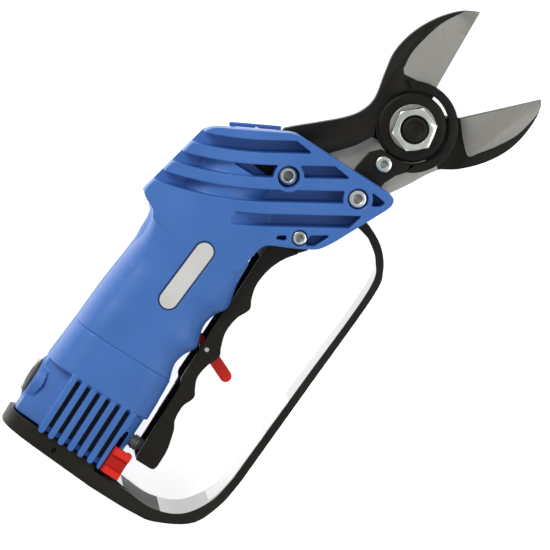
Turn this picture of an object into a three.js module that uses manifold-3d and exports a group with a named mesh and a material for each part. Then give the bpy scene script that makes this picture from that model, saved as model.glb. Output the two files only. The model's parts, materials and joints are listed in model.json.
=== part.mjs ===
// Battery electric pruner: an in-line hand tool with a finger lever, a hand guard and a twin-blade head.
// Millimetres, +Z up. The tool lies on its left cheek: +X runs from the base to the blade tips and +Y to
// the back of the hand. The parts are drawn with Z = 0 on the parting plane of the two housing halves.
import * as THREE from "three";
import { mergeVertices } from "three/addons/utils/BufferGeometryUtils.js";
import Module from "manifold-3d";

const wasm = await Module();
wasm.setup();

// ---- Driving dimensions (mm) ----
const GAP = 0.3; // clearance between neighbouring pieces
const WALL = 2.6; // moulded wall
const CHEEK_Z = 24; // half depth of handle and head
const VENT_Z = 21.5; // half depth of the recessed vent zone
const BASE_X = 3; // underside of the base
const COVER_X = 13.8; // foot of the motor cover
const SKIRT_X = 42; // step above the vents
const SEAM_X = 63.2; // seam between motor cover and handle
const NECK_X = 113; // where the handle runs into the head
const BARREL_Y = 4; // axis of the round barrel under the ribs
const BARREL_R = 21.6;
const BARREL_END_X = 162;
const SLOT_FLOOR_Z = 13; // floor of the slots in the head
const POCKET_FLOOR_Z = 15.5; // floor of the small pockets beside the lever's bolt
const HEAD_RIM = 3; // rounding of the head's rims
const DRAFT_Z = 14; // height from which the back and nose of the head slope in towards the left cheek
const MECHANISM_Z = 11; // half depth of the space round the mechanism
const MOTOR_Y = 5; // axis of motor and gearbox
const SCREW_Y = 3; // axis of the screw, on the gearbox output
const MOTOR_R = 15.5;
const SCREW_R = 3.5;
const PIVOT = [218.5, -52.5]; // blade pivot
const HUB_R = 16.4; // round boss of each blade
const BOLT_R = 5.6;
const BLADE_T = 5;
const LINK_PIN = [179.5, -9.5]; // pin that joins the two drive links
const LINK_PIN_R = 2.4;
const ARM_EYE = [181.46, -11.53]; // eye in the tail of the moving blade
const LINK_L = 52;
const LINK_Z = 7.4; // inner face of each drive link
const LINK_T = 2.6;
const EYE_PLAY = 3.05; // clearance of the link pin in the arm eye, where the closed linkage is opened
const GUIDE_Z = BLADE_T + 0.5; // underside of the guide plate
const LEVER_Z = 13; // half width of the finger lever
const LEVER_PIVOT = [149.5, -35.3];
const LOCK_PIVOT = [83.6, -28.7];
const RIB_ANGLE = -57; // degrees, lie of the ribs on the head
const HEAD_SCREW = [170.1, -16.1]; // rear housing screw, also the datum of the ribs
const FRONT_SCREW = [178.5, -47.8];
const SLOT_PITCH = 11.1;
const SLOT_W = 5.6;
const VENT_PITCH = 5.2;
const VENT_COUNT = 6;
const VENT_RIB = 1.5; // half width of a rib between two vents
const GUARD_Z = 21.4; // half width of the hand guard at the base
const PLUNGER_X = 29.2;
const CAP_X = 30; // service cap
const CAP_R = 8.75;

// ---- Materials ----
const paint = (color, roughness, metalness = 0) =>
  new THREE.MeshStandardMaterial({ color, roughness, metalness });
const BLUE = paint(0x2f5fae, 0.45);
const BLACK = paint(0x26241f, 0.5);
const RED = paint(0xd8281c, 0.4);
const STEEL = paint(0x96948a, 0.35, 1);
const ZINC = paint(0xb9c3b9, 0.3, 1);
const DARK_STEEL = paint(0x2b2925, 0.45, 0.6);
const BRASS = paint(0xb08d4a, 0.4, 1);
const GREEN = paint(0x1f5a3a, 0.6);
const PALE = paint(0xd7d7d2, 0.5);

// ---- Solids ----
function solid(geometry) {
  const bare = geometry.index ? geometry.toNonIndexed() : geometry.clone();
  bare.deleteAttribute("normal");
  bare.deleteAttribute("uv");
  const merged = mergeVertices(bare, 1e-4);
  return new wasm.Manifold(
    new wasm.Mesh({
      numProp: 3,
      vertProperties: new Float32Array(merged.attributes.position.array),
      triVerts: new Uint32Array(merged.index.array),
    }),
  );
}

function geometryOf(body) {
  const mesh = body.getMesh();
  const geometry = new THREE.BufferGeometry();
  geometry.setAttribute("position", new THREE.BufferAttribute(mesh.vertProperties, 3));
  geometry.setIndex(new THREE.BufferAttribute(mesh.triVerts, 1));
  geometry.computeVertexNormals();
  return geometry;
}

const join = (...bodies) => bodies.reduce((a, b) => a.add(b));
const cut = (body, ...tools) => tools.reduce((a, b) => a.subtract(b), body);

function box(x0, x1, y0, y1, z0, z1) {
  const geometry = new THREE.BoxGeometry(x1 - x0, y1 - y0, z1 - z0);
  return solid(geometry.translate((x0 + x1) / 2, (y0 + y1) / 2, (z0 + z1) / 2));
}

// A cylinder from one end to the other along an axis: "x", "y" or "z".
function rod(axis, centre, r, from, to, sides = 18, rEnd = r) {
  const geometry = new THREE.CylinderGeometry(rEnd, r, to - from, sides);
  geometry.translate(0, (from + to) / 2, 0);
  if (axis === "x") geometry.rotateZ(-Math.PI / 2).translate(0, centre[0], centre[1]);
  if (axis === "y") geometry.translate(centre[0], 0, centre[1]);
  if (axis === "z") geometry.rotateX(Math.PI / 2).translate(centre[0], centre[1], 0);
  return solid(geometry);
}

// A plate of the XY outline between two heights.
function plate(outline, z0, z1) {
  const geometry = new THREE.ExtrudeGeometry(polygon(outline), { depth: z1 - z0, bevelEnabled: false });
  return solid(geometry.translate(0, 0, z0));
}

// The same plate with its two rims rounded by r.
function roundedPlate(outline, z0, z1, r) {
  const geometry = new THREE.ExtrudeGeometry(polygon(outline), {
    depth: z1 - z0 - 2 * r,
    bevelThickness: r,
    bevelSize: r,
    bevelOffset: -r,
    bevelSegments: 3,
  });
  return solid(geometry.translate(0, 0, z0 + r));
}

function polygon(points) {
  return new THREE.Shape(points.map(([x, y]) => new THREE.Vector2(x, y)));
}

// A curved stretch through a few points, as a list of points.
function curve(points, divisions = 14) {
  const spline = new THREE.SplineCurve(points.map(([x, y]) => new THREE.Vector2(x, y)));
  return spline.getPoints(divisions).map((p) => [p.x, p.y]);
}

function arc(centre, r, fromDeg, toDeg, divisions = 12) {
  return Array.from({ length: divisions + 1 }, (_, i) => {
    const a = THREE.MathUtils.degToRad(fromDeg + ((toDeg - fromDeg) * i) / divisions);
    return [centre[0] + r * Math.cos(a), centre[1] + r * Math.sin(a)];
  });
}

// A skin over a row of closed rings with equal point counts, with flat ends.
function loft(rings) {
  const n = rings[0].length;
  const position = rings.flat(2);
  const index = [];
  for (let i = 0; i + 1 < rings.length; i++)
    for (let j = 0; j < n; j++) {
      const a = i * n + j;
      const b = i * n + ((j + 1) % n);
      index.push(a, b, a + n, b, b + n, a + n);
    }
  for (const [ring, flip] of [[0, true], [rings.length - 1, false]]) {
    const centre = position.length / 3;
    const middle = [0, 1, 2].map((k) => rings[ring].reduce((s, p) => s + p[k], 0) / n);
    position.push(...middle);
    for (let j = 0; j < n; j++) {
      const a = ring * n + j;
      const b = ring * n + ((j + 1) % n);
      index.push(...(flip ? [centre, b, a] : [centre, a, b]));
    }
  }
  const geometry = new THREE.BufferGeometry();
  geometry.setAttribute("position", new THREE.BufferAttribute(new Float32Array(position), 3));
  geometry.setIndex(index);
  return solid(geometry);
}

// A squarish oval section across the handle at x, from front to back, half as deep as halfZ.
function section(x, back, front, halfZ, inset = 0, sides = 28) {
  const power = 2 / 3.4;
  const bend = (v) => Math.sign(v) * Math.abs(v) ** power;
  const halfY = (back - front) / 2 - inset;
  return Array.from({ length: sides }, (_, i) => {
    const a = (2 * Math.PI * i) / sides;
    return [x, (back + front) / 2 + halfY * bend(Math.cos(a)), (halfZ - inset) * bend(Math.sin(a))];
  });
}

const root = new THREE.Group();
const tool = new THREE.Group();
root.add(tool);

function piece(name, body, material) {
  const mesh = new THREE.Mesh(geometryOf(body), material);
  mesh.name = name;
  tool.add(mesh);
}

// ---- Housing ----
const RIGHT = 1;
const LEFT = -1;
const LONG = 400;

function half(body, side) {
  const [z0, z1] = side === RIGHT ? [GAP / 2, LONG] : [-LONG, -GAP / 2];
  return body.intersect(box(-LONG, LONG, -LONG, LONG, z0, z1));
}

// Front (finger) and back profiles of the grip against x: two finger rests with hollows between them.
const gripFront = new THREE.SplineCurve(
  [
    [SEAM_X, -23.2],
    [70, -21.2],
    [76, -22.2],
    [82, -25.4],
    [87, -23.8],
    [93, -22.8],
    [99, -24.2],
    [104, -27],
    [109, -26],
    [116, -24],
    [128, -22.8],
  ].map(([x, y]) => new THREE.Vector2(x, y)),
);
const gripBack = new THREE.SplineCurve(
  [[SEAM_X, 28], [83, 27], [103, 25], [113, 24], [121, 25], [128, 27]].map(
    ([x, y]) => new THREE.Vector2(x, y),
  ),
);

function profileAt(spline, x) {
  let low = 0;
  let high = 1;
  for (let i = 0; i < 20; i++) {
    const middle = (low + high) / 2;
    if (spline.getPoint(middle).x < x) low = middle;
    else high = middle;
  }
  return spline.getPoint(low).y;
}

function gripBody(inset) {
  const rings = [];
  const first = SEAM_X + (inset ? -5 : GAP / 2);
  for (let i = 0; i <= 16; i++) {
    const x = first + ((127.5 - first) * i) / 16;
    const at = Math.max(x, SEAM_X);
    rings.push(section(x, profileAt(gripBack, at), profileAt(gripFront, at), CHEEK_Z, inset));
  }
  return loft(rings);
}

const HEAD_OUTLINE = [
  [NECK_X - 2, -20],
  [136.5, -22.8],
  [139.3, -25.2],
  ...curve([[147.5, -41.5], [150, -45], [156.2, -49.2]], 4),
  ...curve([[182, -61.6], [185.6, -62], [188, -59]], 4),
  [188.2, -9],
  [187, -5.5],
  [175, 16.8],
  ...curve([[171.5, 23.6], [169.2, 26.6], [165, 28]], 4),
  ...curve([[132, 35.3], [129, 34.6], [126.9, 31.5]], 4),
  [125.4, 27.6],
  [121.8, 25.8],
  [NECK_X + 1, 24.1],
  [NECK_X - 2, 20],
];

// Space inside the head; it runs out through the front, where the blades leave, and the lever's corner.
const HEAD_CAVITY = [
  [NECK_X - 6, -17.5],
  [134.5, -17.5],
  [136, -26],
  [140, -52],
  [150.5, -52],
  [153, -44.3],
  [182.2, -58.2],
  [188, -68],
  [215, -68],
  [215, 40],
  [173, 40],
  [169.5, 21.5],
  [131.5, 29.6],
  [126, 22.8],
  [NECK_X - 6, 20.5],
];

// Direction and normal of the ribs.
const RIB = THREE.MathUtils.degToRad(RIB_ANGLE);
const ribPoint = ([p, q]) => [
  HEAD_SCREW[0] + p * Math.cos(RIB) - q * Math.sin(RIB),
  HEAD_SCREW[1] + p * Math.sin(RIB) + q * Math.cos(RIB),
];
// Height of a rib's edge: level towards the nose, rising towards the back of the head.
const ribEdge = (base, p) => base - 0.03 * p + 0.0032 * Math.min(0, p + 8) ** 2;

// A slot between two ribs, from p0 to p1, whose front end slants by lean.
function ribSlot(row, p0, p1, lean) {
  const top = 15.8 - row * SLOT_PITCH;
  const along = Array.from({ length: 9 }, (_, i) => p0 + ((p1 - p0) * i) / 8);
  const upper = along.map((p, i) => [p - (i === 8 ? Math.max(lean, 0) : 0), p]);
  const lower = along.map((p, i) => [p + (i === 8 ? Math.min(lean, 0) : 0), p]);
  const outline = [
    ...upper.map(([p, at]) => [p, ribEdge(top, at)]),
    ...lower.reverse().map(([p, at]) => [p, ribEdge(top - SLOT_W, at)]),
  ];
  return outline.map(ribPoint).reverse();
}

function headSlots() {
  const slots = [
    ribSlot(0, -50, 10.8, 6.9),
    ribSlot(1, -58, -5.6, 0),
    ribSlot(1, 5.8, 28, 7),
    ribSlot(2, -66, 23.4, 0),
    ribSlot(3, -20, 33, -5.8),
  ];
  const nose = [[37, -8.2], [43.5, -12.4], [41.4, -13.9], [37, -13.9]].map(ribPoint);
  // Two shallow pockets beside the lever's bolt, clear of the bay under them.
  const pockets = [
    [[-4.2, -27.4], [-0.6, -27.4], [-0.6, -29.8], [-5.8, -28.8]],
    [[10.6, -28], [18.6, -28], [12, -32.2], [8.6, -31.8]],
  ].map((corners) => corners.map(ribPoint));
  return [
    ...[...slots, nose].map((outline) => plate(outline, SLOT_FLOOR_Z, CHEEK_Z + 5)),
    ...pockets.map((outline) => plate(outline, POCKET_FLOOR_Z, CHEEK_Z + 5)),
  ];
}

// Edges of the head that slope in towards the left cheek, each with how far it has come in there.
const DRAFTS = [
  { from: [132, 35.3], to: [165, 28], depth: 4.2 },
  { from: [166, 29.5], to: [175, 18], depth: 4.6 },
  { from: [175, 16.8], to: [187, -6], depth: 5 },
];

// A cutter for everything outside the sloping plane of one such edge.
function draftCut({ from: [x0, y0], to: [x1, y1], depth }) {
  const length = Math.hypot(x1 - x0, y1 - y0);
  const [nx, ny] = [(y0 - y1) / length, (x1 - x0) / length];
  const low = -CHEEK_Z - 2;
  const corners = [[0, DRAFT_Z], [-depth, -CHEEK_Z], [-depth, low], [40, low], [40, DRAFT_Z]];
  const ringAt = (t) =>
    corners.map(([n, z]) => [x0 + (x1 - x0) * t + n * nx, y0 + (y1 - y0) * t + n * ny, z]);
  return loft([ringAt(-1), ringAt(2)]);
}

const mirrored = (body) => body.scale([1, 1, -1]);

// Each screw well: centre, radius of the counterbore, height of its floor, shank radius.
const WELLS = [
  { centre: HEAD_SCREW, r: 5, floor: 13, boss: 6.3, shank: 2.5, head: 4.25, name: "head_screw" },
  { centre: FRONT_SCREW, r: 4.7, floor: 17, boss: 6.4, shank: 2.5, head: 4.25, name: "front_screw" },
  { centre: LEVER_PIVOT, r: 3.7, floor: 18.6, boss: 0, shank: 2, head: 3.4, name: "lever_pivot_screw" },
];

function handleShell(side) {
  const head = roundedPlate(HEAD_OUTLINE.toReversed(), -CHEEK_Z, CHEEK_Z, HEAD_RIM);
  let body = join(gripBody(0), head);
  for (const slot of headSlots()) body = cut(body, slot, mirrored(slot));
  body = join(body, rod("x", [BARREL_Y, 0], BARREL_R, NECK_X, BARREL_END_X, 40));
  for (const { centre, boss } of WELLS)
    if (boss) {
      const ring = rod("z", centre, boss, MECHANISM_Z - 0.5, CHEEK_Z - 0.5);
      body = join(body, ring, mirrored(ring));
    }
  const leverBay = plate(
    [[SEAM_X - 2, -17.6], [SEAM_X - 2, -40], [147, -60], [152, -44], [140, -17.6]],
    -LEVER_Z - 0.7,
    LEVER_Z + 0.7,
  );
  const guardSocket = box(164.9, 171.7, -64, -52.6, -9.2, 9.2);
  body = cut(
    body,
    gripBody(WALL).intersect(box(-LONG, NECK_X + 12, -LONG, LONG, -LONG, LONG)),
    plate(HEAD_CAVITY, -MECHANISM_Z, MECHANISM_Z),
    leverBay,
    guardSocket,
  );
  body = join(body, leverBayWall());
  for (const { centre, r, floor, shank } of WELLS)
    body = cut(
      body,
      rod("z", centre, r, floor, CHEEK_Z + 2),
      rod("z", centre, r, -CHEEK_Z - 2, -floor),
      rod("z", centre, shank + GAP, -floor - 1, floor + 1),
    );
  body = cut(body, ...DRAFTS.map(draftCut));
  if (side === RIGHT) body = cut(body, plate(badgeOutline(GAP), CHEEK_Z - 0.7, CHEEK_Z + 2));
  return half(body, side);
}

// The floor of the bay that the finger lever closes into.
function leverBayWall() {
  return box(SEAM_X + 0.5, 134, -17.6, -15.4, -LEVER_Z - 3, LEVER_Z + 3);
}

function coverShell(side) {
  const skirt = loft([
    section(SKIRT_X, 29.6, -24.6, CHEEK_Z - 0.2),
    section((SKIRT_X + SEAM_X) / 2, 28.8, -24.2, CHEEK_Z),
    section(SEAM_X - GAP / 2, 28, -23.4, CHEEK_Z),
  ]);
  const foot = loft([
    section(COVER_X, 29.4, -22.4, VENT_Z),
    section(SKIRT_X + 1, 29.4, -22.8, VENT_Z),
  ]);
  let body = join(skirt, foot, rod("y", [CAP_X, 0], CAP_R + 2.6, 18, 30));
  const first = -((VENT_COUNT - 1) / 2) * VENT_PITCH;
  for (let i = 0; i <= VENT_COUNT; i++) {
    const y = first + (i - 0.5) * VENT_PITCH;
    const rib = box(COVER_X, SKIRT_X + 1, y - VENT_RIB, y + VENT_RIB, -VENT_Z - 1.8, VENT_Z + 1.8);
    body = join(body, rib);
  }
  body = cut(
    body,
    loft([
      section(COVER_X - 2, 29.4, -22.4, VENT_Z, WALL),
      section(SKIRT_X - 1, 29.4, -22.8, VENT_Z, WALL),
      section(SEAM_X + 2, 28, -23.4, VENT_Z, WALL),
    ]),
  );
  for (let i = 0; i < VENT_COUNT; i++) {
    const y = first + i * VENT_PITCH;
    const half = VENT_PITCH / 2 - VENT_RIB;
    body = cut(body, box(COVER_X + 3, SKIRT_X - 2.6, y - half, y + half, -LONG, LONG));
  }
  body = cut(
    body,
    rod("y", [CAP_X, 0], CAP_R + GAP, 24, 40),
    rod("y", [PLUNGER_X, 0], 4.9, -40, -10),
    box(SKIRT_X - 1, SEAM_X + 2, -40, -20.6, -LEVER_Z - 0.7, LEVER_Z + 0.7),
    box(19, 33, -19.2, -16.6, 0, LONG),
    box(COVER_X - 1, 30.2, -40, -16, VENT_Z - 0.6, LONG),
  );
  return half(body, side);
}

function badgeOutline(grow) {
  const r = 4.7 + grow;
  const tilt = -3.8;
  const centre = [107.9, -1.4];
  const a = THREE.MathUtils.degToRad(tilt);
  const end = (s) => [centre[0] + s * 13.4 * Math.cos(a), centre[1] + s * 13.4 * Math.sin(a)];
  return [...arc(end(1), r, tilt - 90, tilt + 90), ...arc(end(-1), r, tilt + 90, tilt + 270)];
}

// ---- Base and hand guard ----
const GUARD_OUTER = [
  [12, -22],
  [BASE_X + 0.4, -22],
  ...curve([[2.6, -38], [4.6, -50], [14, -65.4], [28, -72.2], [42, -74.4]], 14),
  ...curve([[98, -77.3], [144, -79.6], [156.5, -77.2], [165, -70.6], [169.6, -62.6], [171.2, -57]], 14),
  [171.2, -53.6],
];
const GUARD_INNER = [
  [165.4, -53.6],
  [165.4, -58],
  ...curve([[164.6, -62.6], [158, -71.4], [145, -76.2], [97, -73.6]], 12),
  ...curve([[40, -70.4], [27, -67.4], [15.5, -59.4], [10.3, -47], [10.6, -34], [12, -24]], 14),
];

function baseGuard() {
  const loop = plate([...GUARD_OUTER, ...GUARD_INNER].reverse(), -GUARD_Z, GUARD_Z);
  const wide = [[175, 8.2], [35, 16], [BASE_X + 3, GUARD_Z], [-5, GUARD_Z]];
  const narrowing = [...wide.map(([x, z]) => [x, -z]).reverse(), ...wide];
  const taper = new THREE.ExtrudeGeometry(polygon(narrowing), { depth: 140, bevelEnabled: false });
  const wedge = solid(taper.rotateX(Math.PI / 2).translate(0, 30, 0));
  const cap = loft([
    section(BASE_X, 30.6, -21.5, 20),
    section(BASE_X + 1.4, 31.6, -22.6, 21.4),
    section(COVER_X - GAP, 31.8, -22.8, VENT_Z),
  ]);
  const hollow = loft([
    section(BASE_X + 3.2, 31.8, -22.8, VENT_Z, WALL),
    section(COVER_X + 1, 31.8, -22.8, VENT_Z, WALL),
  ]);
  return cut(
    join(loop.intersect(wedge), cap),
    hollow,
    rod("x", [MOTOR_Y, 0], 7 + GAP, 0, 20),
    box(10.6, 20, -40, -14.6, VENT_Z - 6, 40),
  );
}

// ---- Cutting head ----
const tail = arc(ARM_EYE, EYE_PLAY + LINK_PIN_R + 2.2, 80, 245, 9);

function movingBlade() {
  const arm = [[186.6, -4.4], [191, -9], [197.7, -16.5], [205.5, -24.8], [212, -29.6]];
  const spine = [[220, -31.6], [232, -29.2], [243, -27.6], [255, -30], [266, -35.6], [274.6, -43.2]];
  const tip = [278.8, -50.9];
  const back = curve([...arm, ...spine, tip], 26);
  const hub = arc(PIVOT, HUB_R, 355, 120, 18);
  const belly = curve([[206, -40.4], [198, -36], [188, -27.6], [180.4, -20.4]], 8);
  const outline = [...back, [240, -52.9], ...hub, ...belly, ...tail.toReversed()].reverse();
  return cut(
    plate(outline, 0.2, BLADE_T + 0.2),
    rod("z", PIVOT, BOLT_R + GAP, -1, 9, 32),
    rod("z", ARM_EYE, LINK_PIN_R + EYE_PLAY, -1, 9),
  );
}

const TANG = [[158.5, -24], [168, -22.5], [186, -22], [204, -33]];
const GUIDE_SCREW = [197.4, -50.6];

function fixedBlade() {
  const edge = [[260.2, -96.4], [233.4, -70.2]];
  const rear = [[209, -75], [213.4, -81.8], [222, -90]];
  const belly = curve([...rear, [232.2, -96], [243, -98.8], [254, -98.9], [260.2, -96.4]], 14);
  const outline = [
    ...TANG.toReversed(),
    [158.5, -45], [180, -54.8], ...curve([[186, -60.6], [195.3, -66.4], [203, -70.6], [208, -74]], 6),
    ...belly, edge[1], ...arc(PIVOT, HUB_R + 1, -45, 100, 12),
  ];
  return cut(
    plate(outline, -BLADE_T - 0.2, -0.2),
    rod("z", PIVOT, BOLT_R + GAP, -9, 1, 32),
    rod("z", FRONT_SCREW, 2.5 + GAP, -9, 1),
    rod("z", [166, -32], 2 + GAP, -9, 1),
    rod("z", GUIDE_SCREW, 2 + GAP, -9, 1),
  );
}

function guidePlate() {
  const finger = [
    ...arc(PIVOT, 20.9, 210, 368, 26),
    ...arc(PIVOT, 20.9, 372, 398, 5),
    ...arc(PIVOT, 16.8, 394, 200, 30),
  ];
  const foot = [[202.4, -46.4], [198.4, -42.4], [190, -41], [183, -41.2]];
  const heel = [[183, -55.2], [190.4, -55.8], [195.8, -58.2], [199.8, -61.6]];
  const outline = [...finger, ...foot, ...heel];
  return cut(plate(outline, GUIDE_Z, GUIDE_Z + 3), rod("z", GUIDE_SCREW, 2 + GAP, 0, 12));
}

function guideSpacer() {
  return cut(rod("z", GUIDE_SCREW, 3.6, 0.1, GUIDE_Z - GAP), rod("z", GUIDE_SCREW, 2 + GAP, -9, 9));
}

const boltHole = () => rod("z", PIVOT, BOLT_R + GAP, 0, 40, 32);

function thrustDisc() {
  return cut(rod("z", PIVOT, 15.5, GUIDE_Z, GUIDE_Z + 4, 48), boltHole());
}

function hexPrism(centre, acrossFlats, z0, z1, turn = 8) {
  return plate(arc(centre, acrossFlats / Math.sqrt(3), turn, turn + 300, 5), z0, z1);
}

function pivotNut() {
  const chamfer = rod("z", PIVOT, 13, GUIDE_Z + 6, GUIDE_Z + 16, 36, 9.2);
  const collar = rod("z", PIVOT, 13, GUIDE_Z, GUIDE_Z + 13, 36);
  const nut = hexPrism(PIVOT, 18, GUIDE_Z + 5.7, GUIDE_Z + 15, 8 + RIB_ANGLE);
  return cut(nut.intersect(join(chamfer, collar)), boltHole());
}

function pivotWasher() {
  return cut(rod("z", PIVOT, 10.6, GUIDE_Z + 4.3, GUIDE_Z + 5.4, 40), boltHole());
}

function pivotBolt() {
  return join(rod("z", PIVOT, BOLT_R, -6, GUIDE_Z + 16.4, 32), rod("z", PIVOT, 14, -10.5, -5.5, 40));
}

// A socket-head screw: under-head height, end of the shank.
function socketScrew(centre, shank, head, headH, under, end) {
  const socket = hexPrism(centre, shank * 1.6, under + headH * 0.45, under + headH + 1);
  const cap = rod("z", centre, head, under, under + headH);
  return cut(join(cap, rod("z", centre, shank, end, under + 0.5)), socket);
}

function shellNut({ centre, shank, floor }) {
  const hex = hexPrism(centre, shank * 3, -floor - shank * 1.6, -floor - GAP);
  return cut(hex, rod("z", centre, shank + GAP, -40, 0));
}

// ---- Finger lever, trigger lock and plunger ----
const FINGER_RESTS = [
  ...[[146, -43], [138, -36.4], [130, -32.8], [121, -31.6], [114, -33.2], [109.4, -35.2]],
  ...[[103, -32.4], [95, -31.6], [88, -33.6], [83.6, -35.4]],
  ...[[78, -33], [71, -32], [66, -33.8], [62, -35.8]],
  ...[[56, -33.6], [49, -34], [44.5, -36.2], [36.5, -38.4]],
];
const LEVER_FRONT = curve(FINGER_RESTS, 44);

function leverOutline() {
  return [
    ...arc(LEVER_PIVOT, 5.4, -60, 100, 8),
    ...[[138, -25.8], [80, -25.8], [66, -25.4], [64, -27.8], [33.4, -28], [24, -28]],
    ...curve([[24, -36.6], [25, -38.2], [27, -38.8]], 3),
    [33, -38.8],
    ...LEVER_FRONT.toReversed(),
  ];
}

function fingerLever() {
  const full = plate(leverOutline().reverse(), -LEVER_Z, LEVER_Z);
  const trough = leverOutline().map(([x, y]) => [x, y > -31 ? y + 12 : y + 2.6]).reverse();
  const channel = plate(trough, -LEVER_Z + 2.2, LEVER_Z - 2.2).intersect(box(25.4, 132, -60, 0, -LONG, LONG));
  return cut(
    full,
    channel,
    rod("z", LEVER_PIVOT, 2 + GAP, -20, 20),
    rod("z", LOCK_PIVOT, 1 + GAP, -20, 20, 12),
    box(74, 88, -48, -27, -2.8, 2.8),
    box(142.5, 160, -60, 0, MECHANISM_Z - 0.6, 20),
    box(142.5, 160, -60, 0, -20, 0.6 - MECHANISM_Z),
  );
}

function triggerLock() {
  const tip = [77, -43.8];
  const lean = THREE.MathUtils.radToDeg(Math.atan2(tip[1] - LOCK_PIVOT[1], tip[0] - LOCK_PIVOT[0]));
  const inner = [LOCK_PIVOT[0] + 2.6, LOCK_PIVOT[1] + 5.2];
  const root = arc(LOCK_PIVOT, 2.75, lean + 90, lean + 270, 10);
  const paddle = [...arc(tip, 2.75, lean - 90, lean + 90, 10), ...root];
  const stub = [...arc(inner, 1.6, 0, 180, 6), ...arc(LOCK_PIVOT, 2.4, 180, 360, 6)];
  const body = join(plate(paddle, -2.4, 2.4), plate(stub, -2.4, 2.4));
  return cut(body, rod("z", LOCK_PIVOT, 1 + GAP, -20, 20, 12));
}

function coil(centre, r, wire, from, to, turns) {
  class Helix extends THREE.Curve {
    getPoint(t) {
      const a = 2 * Math.PI * turns * t;
      const y = from + (to - from) * t;
      return new THREE.Vector3(centre[0] + r * Math.cos(a), y, centre[1] + r * Math.sin(a));
    }
  }
  const wireSection = polygon(arc([0, 0], wire / 2, 0, 300, 5));
  const path = { extrudePath: new Helix(), steps: Math.round(turns * 10), bevelEnabled: false };
  return solid(new THREE.ExtrudeGeometry(wireSection, path));
}

function powerSlider() {
  const z0 = VENT_Z - 5.6;
  return join(
    box(12.6, 25.4, -25.6, -16.4, VENT_Z - 0.2, VENT_Z + 1.2),
    box(12.6, 25.4, -25.6, -23.4, z0, VENT_Z),
    box(12.6, 15.4, -25.6, -16.4, VENT_Z, VENT_Z + 2.8),
    box(22.6, 25.4, -25.6, -16.4, VENT_Z, VENT_Z + 2.8),
    box(20.4, 24.6, -19, -16.9, VENT_Z - 5, VENT_Z),
  );
}

// ---- Drive ----
const NUT_X = LINK_PIN[0] - Math.sqrt(LINK_L ** 2 - (SCREW_Y - LINK_PIN[1]) ** 2);

function driveLink(side) {
  const nut = [NUT_X, SCREW_Y];
  const lean = THREE.MathUtils.radToDeg(Math.atan2(LINK_PIN[1] - nut[1], LINK_PIN[0] - nut[0]));
  const pinEnd = arc(LINK_PIN, 4.2, lean - 90, lean + 90, 8);
  const outline = [...pinEnd, ...arc(nut, 4.6, lean + 90, lean + 270, 8)];
  const bar = plate(outline, LINK_Z, LINK_Z + LINK_T);
  const body = cut(bar, rod("z", nut, 2.4 + GAP, 0, 20), rod("z", LINK_PIN, LINK_PIN_R + GAP, 0, 20));
  return side === RIGHT ? body : mirrored(body);
}

// The pin carries both links, and its collars keep the arm between them.
function linkPin() {
  const reach = LINK_Z + LINK_T + GAP;
  return join(
    rod("z", LINK_PIN, LINK_PIN_R, -reach, reach),
    rod("z", LINK_PIN, 4, BLADE_T + 0.5, LINK_Z - GAP),
    rod("z", LINK_PIN, 4, -LINK_Z + GAP, -0.1),
  );
}

function screwNut() {
  const block = box(NUT_X - 8, NUT_X + 8, SCREW_Y - 7.5, SCREW_Y + 7.5, -LINK_Z + GAP, LINK_Z - GAP);
  const trunnions = rod("z", [NUT_X, SCREW_Y], 2.4, -LINK_Z - LINK_T, LINK_Z + LINK_T);
  return cut(join(block, trunnions), rod("x", [SCREW_Y, 0], SCREW_R + GAP, 0, 200));
}

function ballScrew() {
  const thread = rod("x", [SCREW_Y, 0], SCREW_R, 101, 180);
  const journal = rod("x", [SCREW_Y, 0], 3, 92.6, 101.5);
  return join(thread, journal, rod("x", [SCREW_Y, 0], 5, 101.4, 103.4));
}

function ring(axisCentre, outer, inner, x0, x1, sides = 36) {
  return cut(rod("x", axisCentre, outer, x0, x1, sides), rod("x", axisCentre, inner, x0 - 1, x1 + 1));
}

function motor() {
  const can = rod("x", [MOTOR_Y, 0], MOTOR_R, 20, 66, 36);
  const flat = box(19, 70, MOTOR_Y - 30, MOTOR_Y - MOTOR_R + 0.8, -8, 8);
  return cut(join(can, rod("x", [MOTOR_Y, 0], 6, 17, 21)), flat);
}

function gearbox() {
  return join(rod("x", [MOTOR_Y, 0], 14.5, 66.3, 88, 36), rod("x", [SCREW_Y, 0], 6, 87, 92.3));
}

function clampBlock(z0, z1) {
  const block = plate([[159, -29.4], [180.6, -29.4], [180.6, -54.2], [159, -45.4]], z0, z1);
  return cut(block, rod("z", FRONT_SCREW, 2.5 + GAP, -20, 20), rod("z", [166, -32], 2 + GAP, -20, 20));
}

function serviceCap() {
  const dome = rod("y", [CAP_X, 0], CAP_R, 24.6, 30.4, 36);
  const crown = rod("y", [CAP_X, 0], CAP_R, 30.3, 32.2, 36, CAP_R - 3.4);
  return cut(join(dome, crown), box(CAP_X - 12, CAP_X + 12, 31, 40, -1.1, 1.1));
}

function powerInlet() {
  const tube = rod("x", [MOTOR_Y, 0], 7, BASE_X + 0.6, 12);
  const flange = rod("x", [MOTOR_Y, 0], 8.6, BASE_X + 3.5, BASE_X + 5.5);
  return cut(join(tube, flange), rod("x", [MOTOR_Y, 0], 5, 0, 9));
}

function plunger() {
  return join(
    rod("y", [PLUNGER_X, 0], 3, -35.6, -18.6),
    rod("y", [PLUNGER_X, 0], 3.6, -27, -24.4),
  );
}

function plungerBush() {
  const sleeve = rod("y", [PLUNGER_X, 0], 4.6, -21.4, -11.6);
  const flange = rod("y", [PLUNGER_X, 0], 6.4, -18.6, -16.6);
  return cut(join(sleeve, flange), rod("y", [PLUNGER_X, 0], 3.9, -22, -12.6));
}

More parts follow.
